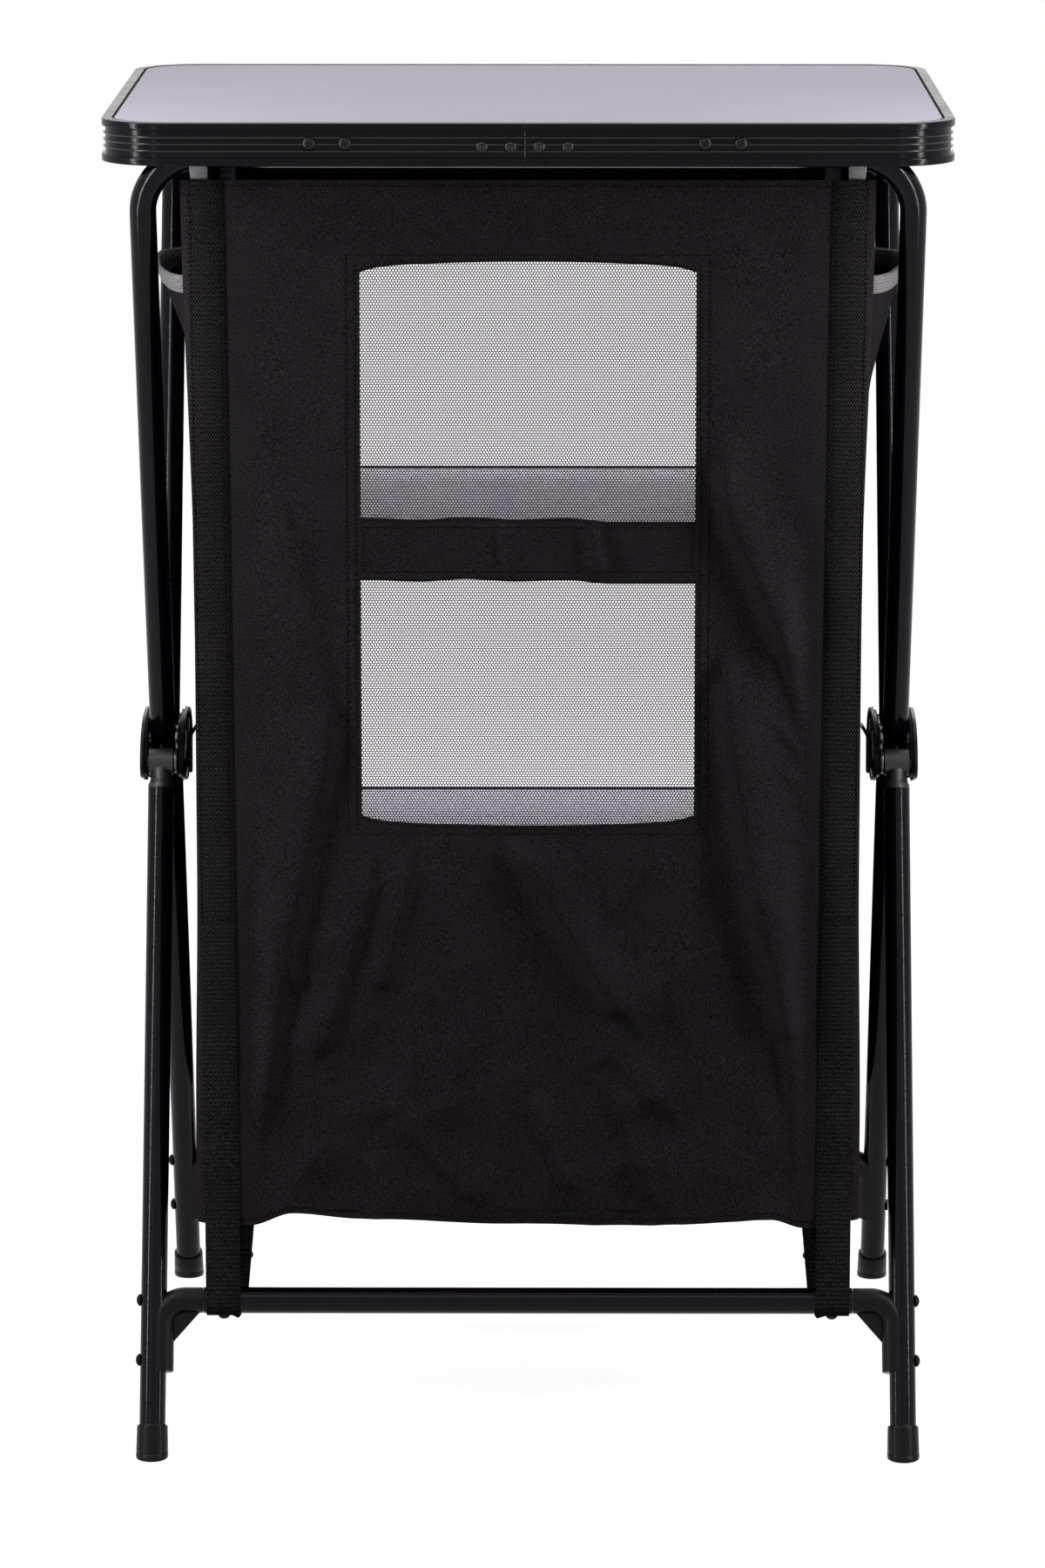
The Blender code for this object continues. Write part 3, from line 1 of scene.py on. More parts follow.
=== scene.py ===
# %% [markdown]
# # A folding camp kitchen cupboard
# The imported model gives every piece's real place and size, and this file gives the looks.
# Each step makes one piece or one finish: smooth tubes round the same axes as the plain
# ones, cloth with its folds, a real net in the windows, stitches, rivets and screws.

# %% Load the frame
import math
import json
import bpy
import bmesh
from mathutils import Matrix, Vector, noise


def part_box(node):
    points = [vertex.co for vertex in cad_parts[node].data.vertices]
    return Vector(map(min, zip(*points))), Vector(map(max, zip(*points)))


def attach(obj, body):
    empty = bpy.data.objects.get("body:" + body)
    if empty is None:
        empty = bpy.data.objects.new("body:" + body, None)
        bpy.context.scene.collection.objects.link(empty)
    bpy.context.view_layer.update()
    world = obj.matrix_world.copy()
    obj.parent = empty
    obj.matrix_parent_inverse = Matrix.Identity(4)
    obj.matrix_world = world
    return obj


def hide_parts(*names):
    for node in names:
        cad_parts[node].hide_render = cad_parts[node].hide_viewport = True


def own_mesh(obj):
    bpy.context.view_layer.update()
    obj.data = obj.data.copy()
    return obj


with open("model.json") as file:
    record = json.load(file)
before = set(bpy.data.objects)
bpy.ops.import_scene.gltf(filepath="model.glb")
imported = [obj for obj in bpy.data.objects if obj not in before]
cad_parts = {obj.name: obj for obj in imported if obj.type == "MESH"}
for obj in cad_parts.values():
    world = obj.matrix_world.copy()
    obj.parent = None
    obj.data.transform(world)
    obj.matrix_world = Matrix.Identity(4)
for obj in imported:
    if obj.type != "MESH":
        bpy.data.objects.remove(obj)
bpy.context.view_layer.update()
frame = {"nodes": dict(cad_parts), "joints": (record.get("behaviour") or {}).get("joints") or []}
joints = {joint["name"]: joint for joint in frame["joints"]}

# %% [markdown]
# Nothing here moves or resizes the model, so sizes are read from it: the boxes of its nodes
# and the places of its joints. Only what a box can't tell, such as a tube's radius or the
# pitch of a weave, is a value of its own.


# %% Sizes read from the frame
def low_high(node):
    low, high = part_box(node)
    return Vector(low), Vector(high)


def add_object(name, data):
    made = bpy.data.objects.new(name, data)
    bpy.context.scene.collection.objects.link(made)
    return made


def ending(line, side):
    """The end of a piece's name, such as _back_left."""
    return "_" + LINE_NAME[line] + "_" + SIDE_NAME[side]


BACK, FRONT = -1, 1
LINE_NAME, SIDE_NAME = {BACK: "back", FRONT: "front"}, {-1: "left", 1: "right"}
X_WAY, Y_WAY, Z_WAY = Vector((1, 0, 0)), Vector((0, 1, 0)), Vector((0, 0, 1))
ORIGIN = Vector((0, 0, 0))
GAP = 0.0003
TUBE_R = 0.0095
rim_low, rim_high = low_high("edge_profile")
HALF_X, HALF_Y, TOP_Z = rim_high
RIM_HEIGHT = TOP_Z - rim_low.z
TUBE_X = low_high("upper_bow_front")[1].x - TUBE_R
plate_low, plate_high = low_high("hub_plate_outer_right")
print("tube planes at", round(TUBE_X, 4), "rim half sizes", HALF_X, HALF_Y)


# %% [markdown]
# Four links make the stand. A link is a pivot, a direction and a length; every tube, cap and
# rivet on it is then placed by how far along the link it lies.

# %% The links
class Link:
    """A leaning link in a plane across X, with its pivot, direction and outer side."""

    def __init__(self, pivot, end):
        self.pivot, run = Vector(pivot), Vector(end) - Vector(pivot)
        self.length = run.length
        self.along = run.normalized()
        self.flat = X_WAY.cross(self.along)

    def at(self, x, run, off=0.0):
        return self.pivot + Vector((x, 0, 0)) + self.along * run + self.flat * off

    def run_at(self, z):
        return (z - self.pivot.z) / self.along.z


BAR_Y, BAR_Z = 0.222, TOP_Z - 0.023
FOOT_Y = 0.252
CROSSBAR_Z = 0.105
upper, lower = {}, {}
for line, name in LINE_NAME.items():
    upper[line] = Link(joints["bow_" + name + "_fold"]["pos_m"], (0, line * BAR_Y, BAR_Z))
    lower[line] = Link(joints["legs_" + name + "_fold"]["pos_m"], (0, line * FOOT_Y, 0))
CROSSBAR_Y = lower[FRONT].at(0, lower[FRONT].run_at(CROSSBAR_Z)).y
print("link lengths", round(upper[BACK].length, 4), round(lower[BACK].length, 4))

# %% [markdown]
# The picture is taken from behind the cupboard, with a long lens from five metres away, a
# little above the tabletop. A long lens keeps the near and far legs almost the same size.

# %% Camera
CAMERA_PLACE = (0.021, -4.956, 1.409)
CAMERA_PITCH, CAMERA_YAW = 11.0, 0.30
camera_data = bpy.data.cameras.new("camera")
camera_data.lens = 155.75
camera_data.sensor_width = 36.0
camera_data.clip_end = 50
camera = add_object("camera", camera_data)
camera.location = CAMERA_PLACE
camera.rotation_euler = (math.radians(90 - CAMERA_PITCH), 0, math.radians(CAMERA_YAW))
bpy.context.scene.camera = camera

# %% [markdown]
# Black things are seen by what they reflect. Two tall, narrow lamps stand close at the
# sides: they draw the bright lines down the tubes and graze the folds of the cloth. Two
# weaker strips stand further out on the camera's side, with a dim lamp above them. A wide
# lamp hangs over the tabletop, and a low one lies before the open front, so that the
# shelves are seen through the net.

# %% Lamps
LAMPS = (  # name, place, (width, height), watts
    ("lamp_left", (-0.66, -0.45, 0.81), (0.04, 1.16), 5.5),
    ("lamp_right", (0.66, -0.45, 0.81), (0.04, 1.16), 5.3),
    ("strip_left", (-1.05, -1.9, 0.8), (0.025, 1.3), 1.3),
    ("strip_right", (1.05, -1.9, 0.8), (0.025, 1.3), 0.6),
    ("lamp_top", (0.0, 0.9, 2.8), (2.2, 1.4), 41),
    ("lamp_back", (-0.3, -1.9, 2.3), (1.6, 0.4), 5),
    ("lamp_front", (0.0, 0.95, 0.81), (1.0, 0.12), 2.2),
)
LAMP_AIM = Vector((0, 0, 0.5))
for name, place, size, power in LAMPS:
    data = bpy.data.lights.new(name, "AREA")
    data.shape = "RECTANGLE"
    data.size, data.size_y = size
    data.energy = power
    lamp = add_object(name, data)
    lamp.location = place
    lamp.rotation_euler = (LAMP_AIM - Vector(place)).to_track_quat("-Z", "Y").to_euler()
bpy.context.scene.view_settings.view_transform = "Standard"
print("lamps", len(LAMPS))

# %% [markdown]
# A node tree can be wired one line at a time, but that hides what it does. Here one helper
# makes a node and gives each input either a value or a wire, so a tree reads like a sum.


# %% Node helpers
def set_inputs(tree, node, inputs):
    for key, value in inputs.items():
        if isinstance(value, bpy.types.NodeSocket):
            tree.links.new(value, node.inputs[key])
        else:
            node.inputs[key].default_value = value


def add_node(tree, kind, inputs=None, **settings):
    node = tree.nodes.new(kind)
    for title, value in settings.items():
        setattr(node, title, value)
    set_inputs(tree, node, inputs or {})
    return node


def compute(tree, operation, *values):
    return add_node(tree, "ShaderNodeMath", dict(enumerate(values)),
                    operation=operation).outputs[0]


def seen_directly(tree):
    """A socket that is 1 for rays from the camera, in mirrors and through holes."""
    path = tree.nodes.new("ShaderNodeLightPath").outputs
    first = compute(tree, "MAXIMUM", path["Is Camera Ray"], path["Is Glossy Ray"])
    return compute(tree, "MAXIMUM", first, path["Is Transmission Ray"])


print("node helpers ready")

# %% [markdown]
# A plain studio: world and floor look white to the camera, in mirrors and through holes. If
# they also lit the cupboard they would wash out its blacks, so to all other rays the world
# is dim and the floor grey, and the floor keeps a soft shadow.

# %% World and floor
WHITE = (1, 1, 1, 1)
AMBIENT, FLOOR_GLOW, FLOOR_GREY, FLOOR_HALF = 0.09, 0.94, 0.36, 3.2
world = bpy.data.worlds.new("studio")
world.use_nodes = True
bpy.context.scene.world = world
tree = world.node_tree
shown = tree.nodes["Background"]
set_inputs(tree, shown, {"Color": WHITE, "Strength": 1.0})
ambient = add_node(tree, "ShaderNodeBackground", {"Color": WHITE, "Strength": AMBIENT})
choose = add_node(tree, "ShaderNodeMixShader",
                  {0: seen_directly(tree), 1: ambient.outputs[0], 2: shown.outputs[0]})
tree.links.new(choose.outputs[0], tree.nodes["World Output"].inputs["Surface"])

floor_mesh = bpy.data.meshes.new("studio_floor")
floor_mesh.from_pydata([(x * FLOOR_HALF, y * FLOOR_HALF, 0)
                        for x, y in ((-1, -1), (1, -1), (1, 1), (-1, 1))], [], [(0, 1, 2, 3)])
add_object("studio_floor", floor_mesh)
floor_look = bpy.data.materials.new("studio_floor")
floor_look.use_nodes = True
tree = floor_look.node_tree
set_inputs(tree, tree.nodes["Principled BSDF"], {
    "Base Color": (FLOOR_GREY, FLOOR_GREY, FLOOR_GREY, 1), "Roughness": 0.9,
    "Specular IOR Level": 0.0, "Emission Color": WHITE,
    "Emission Strength": compute(tree, "MULTIPLY", seen_directly(tree), FLOOR_GLOW)})
floor_mesh.materials.append(floor_look)
print("stage ready")

# %% [markdown]
# Most pieces are drawn as rings of points skinned to a solid: turned pieces, tubes along a
# path, and flat sections. Curves with a bevel would also make tubes, but rings let each
# end have its own rounding and give a mesh that needs no cleaning.


# %% Drawing helpers
def ring(centre, side, up, radius, count):
    turns = [2 * math.pi * i / count for i in range(count)]
    return [centre + radius * (math.cos(a) * side + math.sin(a) * up) for a in turns]


def skin(bm, rings, closed=False):
    """Skin rings of equally many points; the ends are capped unless the rings close up."""
    rows = [[bm.verts.new(point) for point in points] for points in rings]
    count = len(rows[0])
    pairs = list(zip(rows, rows[1:])) + ([(rows[-1], rows[0])] if closed else [])
    for low, high in pairs:
        for i in range(count):
            j = (i + 1) % count
            bm.faces.new((low[i], low[j], high[j], high[i]))
    if not closed:
        bm.faces.new(list(reversed(rows[0])))
        bm.faces.new(rows[-1])


def turn(bm, profile, base, axis, count=40):
    """A turned solid from (radius, height) pairs."""
    side = X_WAY if abs(axis.x) < 0.9 else Y_WAY
    side = (side - axis * side.dot(axis)).normalized()
    skin(bm, [ring(base + axis * h, side, axis.cross(side), r, count) for r, h in profile])


def path_rings(path, flat, radii, count):
    """Rings along a path in a plane; flat is the plane's normal."""
    rings = []
    for i, point in enumerate(path):
        before = (point - path[i - 1]).normalized() if i else None
        after = (path[i + 1] - point).normalized() if i + 1 < len(path) else None
        tangent = ((before or after) + (after or before)).normalized()
        rings.append(ring(point, flat, tangent.cross(flat).normalized(), radii[i], count))
    return rings


def arc(u, v, radius, start, end, steps):
    angles = [math.radians(start + (end - start) * i / steps) for i in range(steps + 1)]
    return [(u + radius * math.cos(a), v + radius * math.sin(a)) for a in angles]


def spread(low, high, steps):
    return [low + (high - low) * i / steps for i in range(steps + 1)]


def smooth(share):
    share = min(max(share, 0.0), 1.0)
    return share * share * (3 - 2 * share)


print("drawing helpers ready")

# %% [markdown]
# A drawing becomes a piece in one step: it gets its look, a body to ride on, and the nodes
# of the model that it stands for.


# %% Finished pieces
def mesh_object(name, bm, sharp=40):
    """An object at the origin from a drawing: normals out, smooth but for its sharp edges."""
    bmesh.ops.recalc_face_normals(bm, faces=bm.faces)
    mesh = bpy.data.meshes.new(name)
    bm.to_mesh(mesh)
    bm.free()
    mesh.shade_smooth()
    mesh.set_sharp_from_angle(angle=math.radians(sharp))
    return add_object(name, mesh)


def finish_piece(name, bm, look, body, nodes=(), slot=None, sharp=40):
    """A finished piece that rides on its body and stands for its nodes of the model."""
    piece = mesh_object(name, bm, sharp)
    piece.data.materials.append(look)
    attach(piece, body)
    if nodes:
        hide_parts(*nodes)
    return piece


def skin_piece(name, rings, *facts, **more):
    bm = bmesh.new()
    skin(bm, rings)
    return finish_piece(name, bm, *facts, **more)


def soften(piece, width):
    """Round a piece's sharp edges, so that they catch the light."""
    bevel = piece.modifiers.new("soften", "BEVEL")
    bevel.width, bevel.segments = width, 2
    bevel.limit_method, bevel.angle_limit = "ANGLE", math.radians(40)


print("piece helpers ready")

# %% [markdown]
# Every look is a Principled shader with nodes in front of it. Most share two habits: noise
# that varies the roughness a little, as a real finish does, and a fine bump. Weaves read
# the object's own coordinates, and as every piece keeps its place in its mesh, one scale
# fits them all.


# %% Look helpers
def look_nodes(name, colour, roughness, metallic=0.0, specular=0.5):
    look = bpy.data.materials.new(name)
    look.use_nodes = True
    tree = look.node_tree
    shader = tree.nodes["Principled BSDF"]
    set_inputs(tree, shader, {"Base Color": (*colour, 1), "Roughness": roughness,
                              "Metallic": metallic, "Specular IOR Level": specular})
    return look, tree, shader, tree.nodes.new("ShaderNodeTexCoord").outputs["Object"]


def add_noise(tree, place, scale, detail=3.0, stretch=None):
    if stretch:
        place = add_node(tree, "ShaderNodeMapping",
                         {"Scale": stretch, "Vector": place}).outputs[0]
    return add_node(tree, "ShaderNodeTexNoise",
                    {"Scale": scale, "Detail": detail, "Vector": place}).outputs["Fac"]


def spread_value(tree, value, low, high):
    """Map a noise's usual range on to another one."""
    return add_node(tree, "ShaderNodeMapRange", {
        "From Min": 0.3, "From Max": 0.7, "To Min": low, "To Max": high,
        "Value": value}).outputs["Result"]


def mix_colours(tree, value, low, high):
    return add_node(tree, "ShaderNodeMix", {"A": (*low, 1), "B": (*high, 1), "Factor": value},
                    data_type="RGBA").outputs["Result"]


def bump(tree, height, distance, strength=1.0, **under):
    return add_node(tree, "ShaderNodeBump", {"Distance": distance, "Strength": strength,
                                             "Height": height, **under}).outputs[0]


def stripes(tree, place, pitch, direction):
    """Even bands along a direction, such as threads; direction is a vector."""
    dot = add_node(tree, "ShaderNodeVectorMath", {0: place, 1: direction},
                   operation="DOT_PRODUCT").outputs["Value"]
    return compute(tree, "SINE", compute(tree, "MULTIPLY", dot, 2 * math.pi / pitch))


# %% [markdown]
# The tubes are painted a deep satin black, the hubs and moulded parts are duller, and the
# knuckles are bare cast metal. A black that is too even looks like a hole in the picture,
# so every coat has a cloudy skin, and its low specular keeps only the lamps' bright lines.


# %% Metal and plastic looks
def painted(name, colour, roughness, peel=900, metallic=0.0, specular=0.5):
    """A coat with a cloudy satin skin and a very fine orange peel."""
    look, tree, shader, place = look_nodes(name, colour, roughness, metallic, specular)
    cloudy = spread_value(tree, add_noise(tree, place, 55, 4), roughness - 0.05, roughness + 0.06)
    set_inputs(tree, shader, {
        "Roughness": cloudy, "Normal": bump(tree, add_noise(tree, place, peel, 2), 0.00008, 0.5)})
    return look


BLACK_PAINT = painted("tube_paint", (0.0018, 0.0012, 0.0026), 0.13, specular=0.12)
HUB_PAINT = painted("hub_paint", (0.0036, 0.0033, 0.0039), 0.34, specular=0.08)
RIM_COAT = painted("rim_coat", (0.0030, 0.0026, 0.0036), 0.16, specular=0.1)
# The ribs' coat is lighter than the rim's: a painted highlight along the ribs, on top of the real
# glints from its higher specular.
RIB_PAINTED_HIGHLIGHT = painted("rim_rib_painted_highlight", (0.008, 0.0075, 0.0085), 0.2, specular=0.3)
# A matte strip that reflects almost nothing: painted shade for the dark groove between the lip and
# the board.
RIM_PAINTED_SHADE = painted("rim_painted_shade_strip", (0.0030, 0.0024, 0.0032), 0.7, specular=0.02)
PLASTIC = painted("moulded_plastic", (0.0040, 0.0037, 0.0042), 0.34, 1600, specular=0.11)
CAST = painted("cast_grey", (0.030, 0.029, 0.030), 0.4, 700, 0.6)
STEEL = painted("pin_steel", (0.085, 0.085, 0.09), 0.3, 500, 1.0)
DARK_STEEL = painted("black_screws", (0.004, 0.0036, 0.0044), 0.2, 500, specular=0.2)
RIVET_BLACK = painted("black_rivets", (0.004, 0.0036, 0.004), 0.08, 500, specular=0.28)
CUT_METAL = painted("cut_aluminium", (0.5, 0.49, 0.52), 0.4, 500, 0.3)
# Black thread made much darker than the cloth: partly its own colour, partly painted shade for the
# holes and grooves the stitches sit in.
THREAD_AND_PAINTED_SHADE = painted("stitch_thread_and_painted_shade", (0.0012, 0.0010, 0.0012), 0.6, 2500, specular=0.05)


def laminate():
    """A grey worktop sheet: small pale and dark specks under a satin skin."""
    look, tree, shader, place = look_nodes("laminate", (0.41, 0.38, 0.44), 0.6, 0.0, 0.06)
    fine, broad = add_noise(tree, place, 1500, 2), add_noise(tree, place, 12, 3)
    tone = compute(tree, "ADD", spread_value(tree, fine, 0.25, 0.75),
                   spread_value(tree, broad, -0.06, 0.06))
    set_inputs(tree, shader, {
        "Base Color": mix_colours(tree, tone, (0.365, 0.338, 0.395), (0.425, 0.391, 0.458)),
        "Roughness": spread_value(tree, broad, 0.56, 0.66),
        "Normal": bump(tree, fine, 0.00006, 0.4)})
    return look


def shelf_board():
    look, tree, shader, place = look_nodes("shelf_board", (0.5, 0.49, 0.51), 0.5)
    fine = add_noise(tree, place, 900, 3)
    tone = spread_value(tree, fine, 0.1, 0.9)
    set_inputs(tree, shader, {
        "Base Color": mix_colours(tree, tone, (0.76, 0.715, 0.79), (0.88, 0.83, 0.91)),
        "Normal": bump(tree, fine, 0.00005, 0.4)})
    return look


LAMINATE, SHELF = laminate(), shelf_board()

# %% [markdown]
# Cloth is a weave of two thread directions with uneven yarn. The cloth hangs both along X
# and along Y, so the upright threads are counted along X plus Y. Webbing has heavier ribs
# across it, which show in its tone and stand out a little.


# %% Cloth looks
def woven(name, dark, light, pitch, depth, ribs=None):
    look, tree, shader, place = look_nodes(name, dark, 0.82, 0.0, 0.0)
    weave = compute(tree, "MULTIPLY", stripes(tree, place, pitch, (1, 1, 0)),
                    stripes(tree, place, ribs or pitch, (0.03, -0.03, 1)))
    yarn = add_noise(tree, place, 1250, 2, (1, 1, 0.6))
    clouds = add_noise(tree, place, 26, 4)
    tone = compute(tree, "ADD", spread_value(tree, yarn, 0.0, 0.9),
                   spread_value(tree, clouds, -0.06, 0.07))
    tone = compute(tree, "ADD", tone, compute(tree, "MULTIPLY", weave, 0.7 if ribs else 0.1))
    under = {}
    if ribs:
        heavy = stripes(tree, place, ribs, (0, 0, 1))
        tone = compute(tree, "ADD", tone, compute(tree, "MULTIPLY", heavy, 0.07))
        under = {"Normal": bump(tree, heavy, 0.0002)}
    threads = bump(tree, compute(tree, "ADD", weave, yarn), depth, 0.8, **under)
    set_inputs(tree, shader, {"Base Color": mix_colours(tree, tone, dark, light),
                              "Sheen Weight": 0.01, "Sheen Roughness": 0.5, "Normal": threads})
    return look


CLOTH = woven("black_cloth", (0.006, 0.0052, 0.0058), (0.034, 0.0310, 0.0330), 0.0011, 0.00012)
LINING = woven("cloth_lining", (0.0080, 0.0075, 0.0082), (0.0250, 0.0235, 0.0255), 0.0012, 0.0001)
WEBBING = woven("black_webbing", (0.0008, 0.0007, 0.0008), (0.034, 0.0320, 0.0335), 0.0021,
                0.00012, 0.0032)
GREY_TAPE = woven("grey_tape", (0.17, 0.165, 0.17), (0.34, 0.335, 0.34), 0.0010, 0.00015, 0.0022)
NET = woven("black_net", (0.034, 0.020, 0.042), (0.052, 0.034, 0.064), 0.0006, 0.00005)
print("looks ready")

# %% [markdown]
# Rivets, screws and stitches repeat many times. One Geometry Nodes tree places a small
# part on every spot of a list: each spot has a place, a direction out of the surface and a
# direction along it. The part points out along Z and lies along X.


# %% A Geometry Nodes tree for repeats
def geometry_tree(name, sockets):
    """A tree with its named inputs and one output; gives back the inputs' sockets."""
    tree = bpy.data.node_groups.new(name, "GeometryNodeTree")
    tree.is_modifier = True
    for title, kind in sockets:
        tree.interface.new_socket(title, in_out="INPUT", socket_type="NodeSocket" + kind)
    tree.interface.new_socket("Geometry", in_out="OUTPUT", socket_type="NodeSocketGeometry")
    return tree, tree.nodes.new("NodeGroupInput").outputs


def copies_on_points(tree, points, part, look, scale, turned=None, move=None):
    """The end of a tree: copies of a part on points, made real, moved and given a look."""
    part = add_node(tree, "GeometryNodeObjectInfo", {"Object": part})
    spots = {"Points": points, "Instance": part.outputs["Geometry"], "Scale": scale}
    if turned is not None:
        spots["Rotation"] = turned
    copies = add_node(tree, "GeometryNodeInstanceOnPoints", spots)
    made = add_node(tree, "GeometryNodeRealizeInstances", {0: copies.outputs[0]}).outputs[0]
    if move:
        made = add_node(tree, "GeometryNodeTransform", {"Geometry": made, **move}).outputs[0]
    dressed = add_node(tree, "GeometryNodeSetMaterial", {"Geometry": made, "Material": look})
    add_node(tree, "NodeGroupOutput", {0: dressed.outputs[0]})


def repeat_tree():
    tree, given = geometry_tree("repeat_on_spots", (
        ("Spots", "Geometry"), ("Part", "Object"), ("Size", "Float"), ("Look", "Material")))
    turned, settings = None, {}
    for axis, title in (("Z", "out"), ("X", "along")):
        named = add_node(tree, "GeometryNodeInputNamedAttribute", {"Name": title},
                         data_type="FLOAT_VECTOR")
        inputs = {"Vector": named.outputs["Attribute"]}
        if turned is not None:
            inputs["Rotation"], settings = turned, {"pivot_axis": "Z"}
        turned = add_node(tree, "FunctionNodeAlignRotationToVector", inputs, axis=axis,
                          **settings).outputs["Rotation"]
    copies_on_points(tree, given["Spots"], given["Part"], given["Look"], given["Size"], turned)
    return tree


REPEAT = repeat_tree()
print("repeat tree nodes", len(REPEAT.nodes))


# %% [markdown]
# A tree's result is turned into a plain mesh at once, so no instances are left. A
# modifier's input is set by its identifier, which is looked up here by its name.


# %% Run a tree on spots
def bake_modifiers(holder):
    """Turn an object's modifiers into a plain mesh."""
    graph = bpy.context.evaluated_depsgraph_get()
    made = bpy.data.meshes.new_from_object(holder.evaluated_get(graph))
    holder.modifiers.clear()
    holder.data = made
    return holder


def run_tree(name, start, tree, values):
    """Run a tree on a mesh with named inputs, and keep the result as a plain object."""
    holder = add_object(name, start)
    modifier = holder.modifiers.new("nodes", "NODES")
    modifier.node_group = tree
    for socket in tree.interface.items_tree:
        if socket.in_out == "INPUT" and socket.name in values:
            modifier[socket.identifier] = values[socket.name]
    bake_modifiers(holder).data.name = name
    return holder


def repeat_part(name, part, spots, look, body, size=1.0):
    """Copies of a part at (place, out, along) spots, as one piece on one body."""
    mesh = bpy.data.meshes.new(name + "_spots")
    mesh.from_pydata([place for place, _, _ in spots], [], [])
    for title, which in (("out", 1), ("along", 2)):
        layer = mesh.attributes.new(title, "FLOAT_VECTOR", "POINT")
        layer.data.foreach_set("vector", [c for spot in spots for c in spot[which]])
    piece = run_tree(name, mesh, REPEAT, {"Part": part, "Size": size, "Look": look})
    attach(piece, body)
    return piece


small_parts = []


def small_part(name, bm):
    """A part for the repeats; it is removed once everything is placed."""
    small_parts.append(mesh_object(name, bm))
    return small_parts[-1]


print("repeat helpers ready")


# %% [markdown]
# Four small parts serve everywhere: a rivet with a pit, a plain dome, a screw whose cross is
# cut by a Boolean, and one arched stitch. Each is drawn once round the origin, with few
# faces, since some are repeated hundreds of times.


# %% Small parts: rivet, dome, cross-head screw, stitch
def dome(name, radius, height, pit=0.0):
    """A low dome with a rounded edge and, if asked, a pit in its middle."""
    profile = [(radius - 0.0002, -0.0004), (radius, 0)]
    profile += [(radius * math.cos(math.radians(a)), height * math.sin(math.radians(a)))
                for a in (12, 25, 38, 50, 62, 72)]
    if pit:
        profile += [(pit * 1.15, height * 0.99), (pit, height * 0.93),
                    (pit * 0.8, height * 0.7), (0.00008, height * 0.68)]
    else:
        profile += [(radius * 0.16, height * 0.995), (0.00008, height)]
    bm = bmesh.new()
    turn(bm, profile, ORIGIN, Z_WAY, 36)
    return small_part(name, bm)


def cross_screw(radius, height):
    """A pan head with a cross cut into it."""
    head, cut = dome("screw_head", radius, height), bmesh.new()
    long, thin = radius * 0.62, radius * 0.13
    for way, other in ((X_WAY, Y_WAY), (Y_WAY, X_WAY)):
        outline = [way * u * long + other * v * thin
                   for u, v in ((1, 1), (1, -1), (-1, -1), (-1, 1))]
        skin(cut, [[p * share + Z_WAY * height * level for p in outline]
                   for share, level in ((0.55, 0.25), (1.05, 1.3))])
    step = head.modifiers.new("cross", "BOOLEAN")
    step.operation, step.use_self = "DIFFERENCE", True
    step.object = small_part("screw_cross", cut)
    return bake_modifiers(head)


def thread_stitch():
    path = [Vector((x, 0, z)) for x, z in ((-0.00115, -0.00035), (-0.0008, 0.00012),
            (0, 0.00026), (0.0008, 0.00012), (0.00115, -0.00035))]
    radii = [0.00012, 0.00021, 0.00024, 0.00021, 0.00012]
    bm = bmesh.new()
    skin(bm, path_rings(path, Y_WAY, radii, 6))
    return small_part("stitch", bm)


RIVET, DOME = dome("rivet", 0.0040, 0.0016, 0.0011), dome("dome", 0.0045, 0.0030)
SCREW, STITCH = cross_screw(0.0045, 0.0024), thread_stitch()
print("small parts", [part.name for part in small_parts])

# %% [markdown]
# The rim is one extruded section, bent round the tabletop and closed by a butt joint at the
# middle of the back: a lip band, three fine ribs, a bottom band, and inside it a ledge
# that carries the board. A real section swept round the corners catches the light along
# every rib, which a bump could not. Which point pair a face comes from says which of the
# three looks it gets: the coat; the ribs' coat, a lighter colour that paints a highlight
# along them; or a matte strip on the lip's inner edge, which paints the shade of the
# groove beside the board.

# %% Rim
JOINT_X, JOINT_SLIT = -0.002, 0.00045
RIM_CORNER, LIP_REACH, LIP_BAND = 0.048, 0.009, 0.0055
RIM_RECESS, RIM_WALL, RIB_PROUD, RIM_EASE = 0.0025, 0.005, 0.0013, 0.0011
RIM_SHEET, LEDGE_LOW, LEDGE_REACH = 0.0012, 0.0090, 0.011


def eased_over(down, angles=(0, 30, 60, 90)):
    """From a level face over a rounded edge to the outside; down is where the face lies."""
    turns = [math.radians(a) for a in angles]
    return [(RIM_EASE * (1 - math.sin(a)), down + RIM_EASE * (1 - math.cos(a))) for a in turns]


def eased_under(down):
    turns = [math.radians(a) for a in (0, 30, 60, 90)]
    return [(RIM_EASE * (1 - math.cos(a)), down - RIM_EASE * (1 - math.sin(a))) for a in turns]


def rim_section():
    """(distance inwards, distance down) round the section, with its edges eased."""
    ends = RIM_HEIGHT - LIP_BAND
    points = [(LIP_REACH, 0.0002), (LIP_REACH - 0.0002, 0), (LIP_REACH - 0.0016, 0)]
    points += eased_over(0, (0, 22, 45, 68, 90)) + eased_under(LIP_BAND)
    points += [(RIM_RECESS - 0.0002, LIP_BAND), (RIM_RECESS, LIP_BAND + 0.0002)]
    for i in (1, 2, 3):
        middle = LIP_BAND + (ends - LIP_BAND) / 4 * i
        points.append((RIM_RECESS, middle - 0.0011))
        points += [(RIM_RECESS - RIB_PROUD * math.sin(math.radians(a)),
                    middle - 0.0009 * math.cos(math.radians(a))) for a in range(0, 181, 30)]
        points.append((RIM_RECESS, middle + 0.0011))
    points += [(RIM_RECESS, ends - 0.0002), (RIM_RECESS - 0.0002, ends)]
    points += eased_over(ends) + eased_under(RIM_HEIGHT)
    points += [(RIM_WALL, RIM_HEIGHT), (RIM_WALL, LEDGE_LOW), (LEDGE_REACH, LEDGE_LOW),
               (LEDGE_REACH, LEDGE_LOW - RIM_SHEET), (RIM_WALL, LEDGE_LOW - RIM_SHEET),
               (RIM_WALL, RIM_SHEET), (LIP_REACH, RIM_SHEET)]
    return points


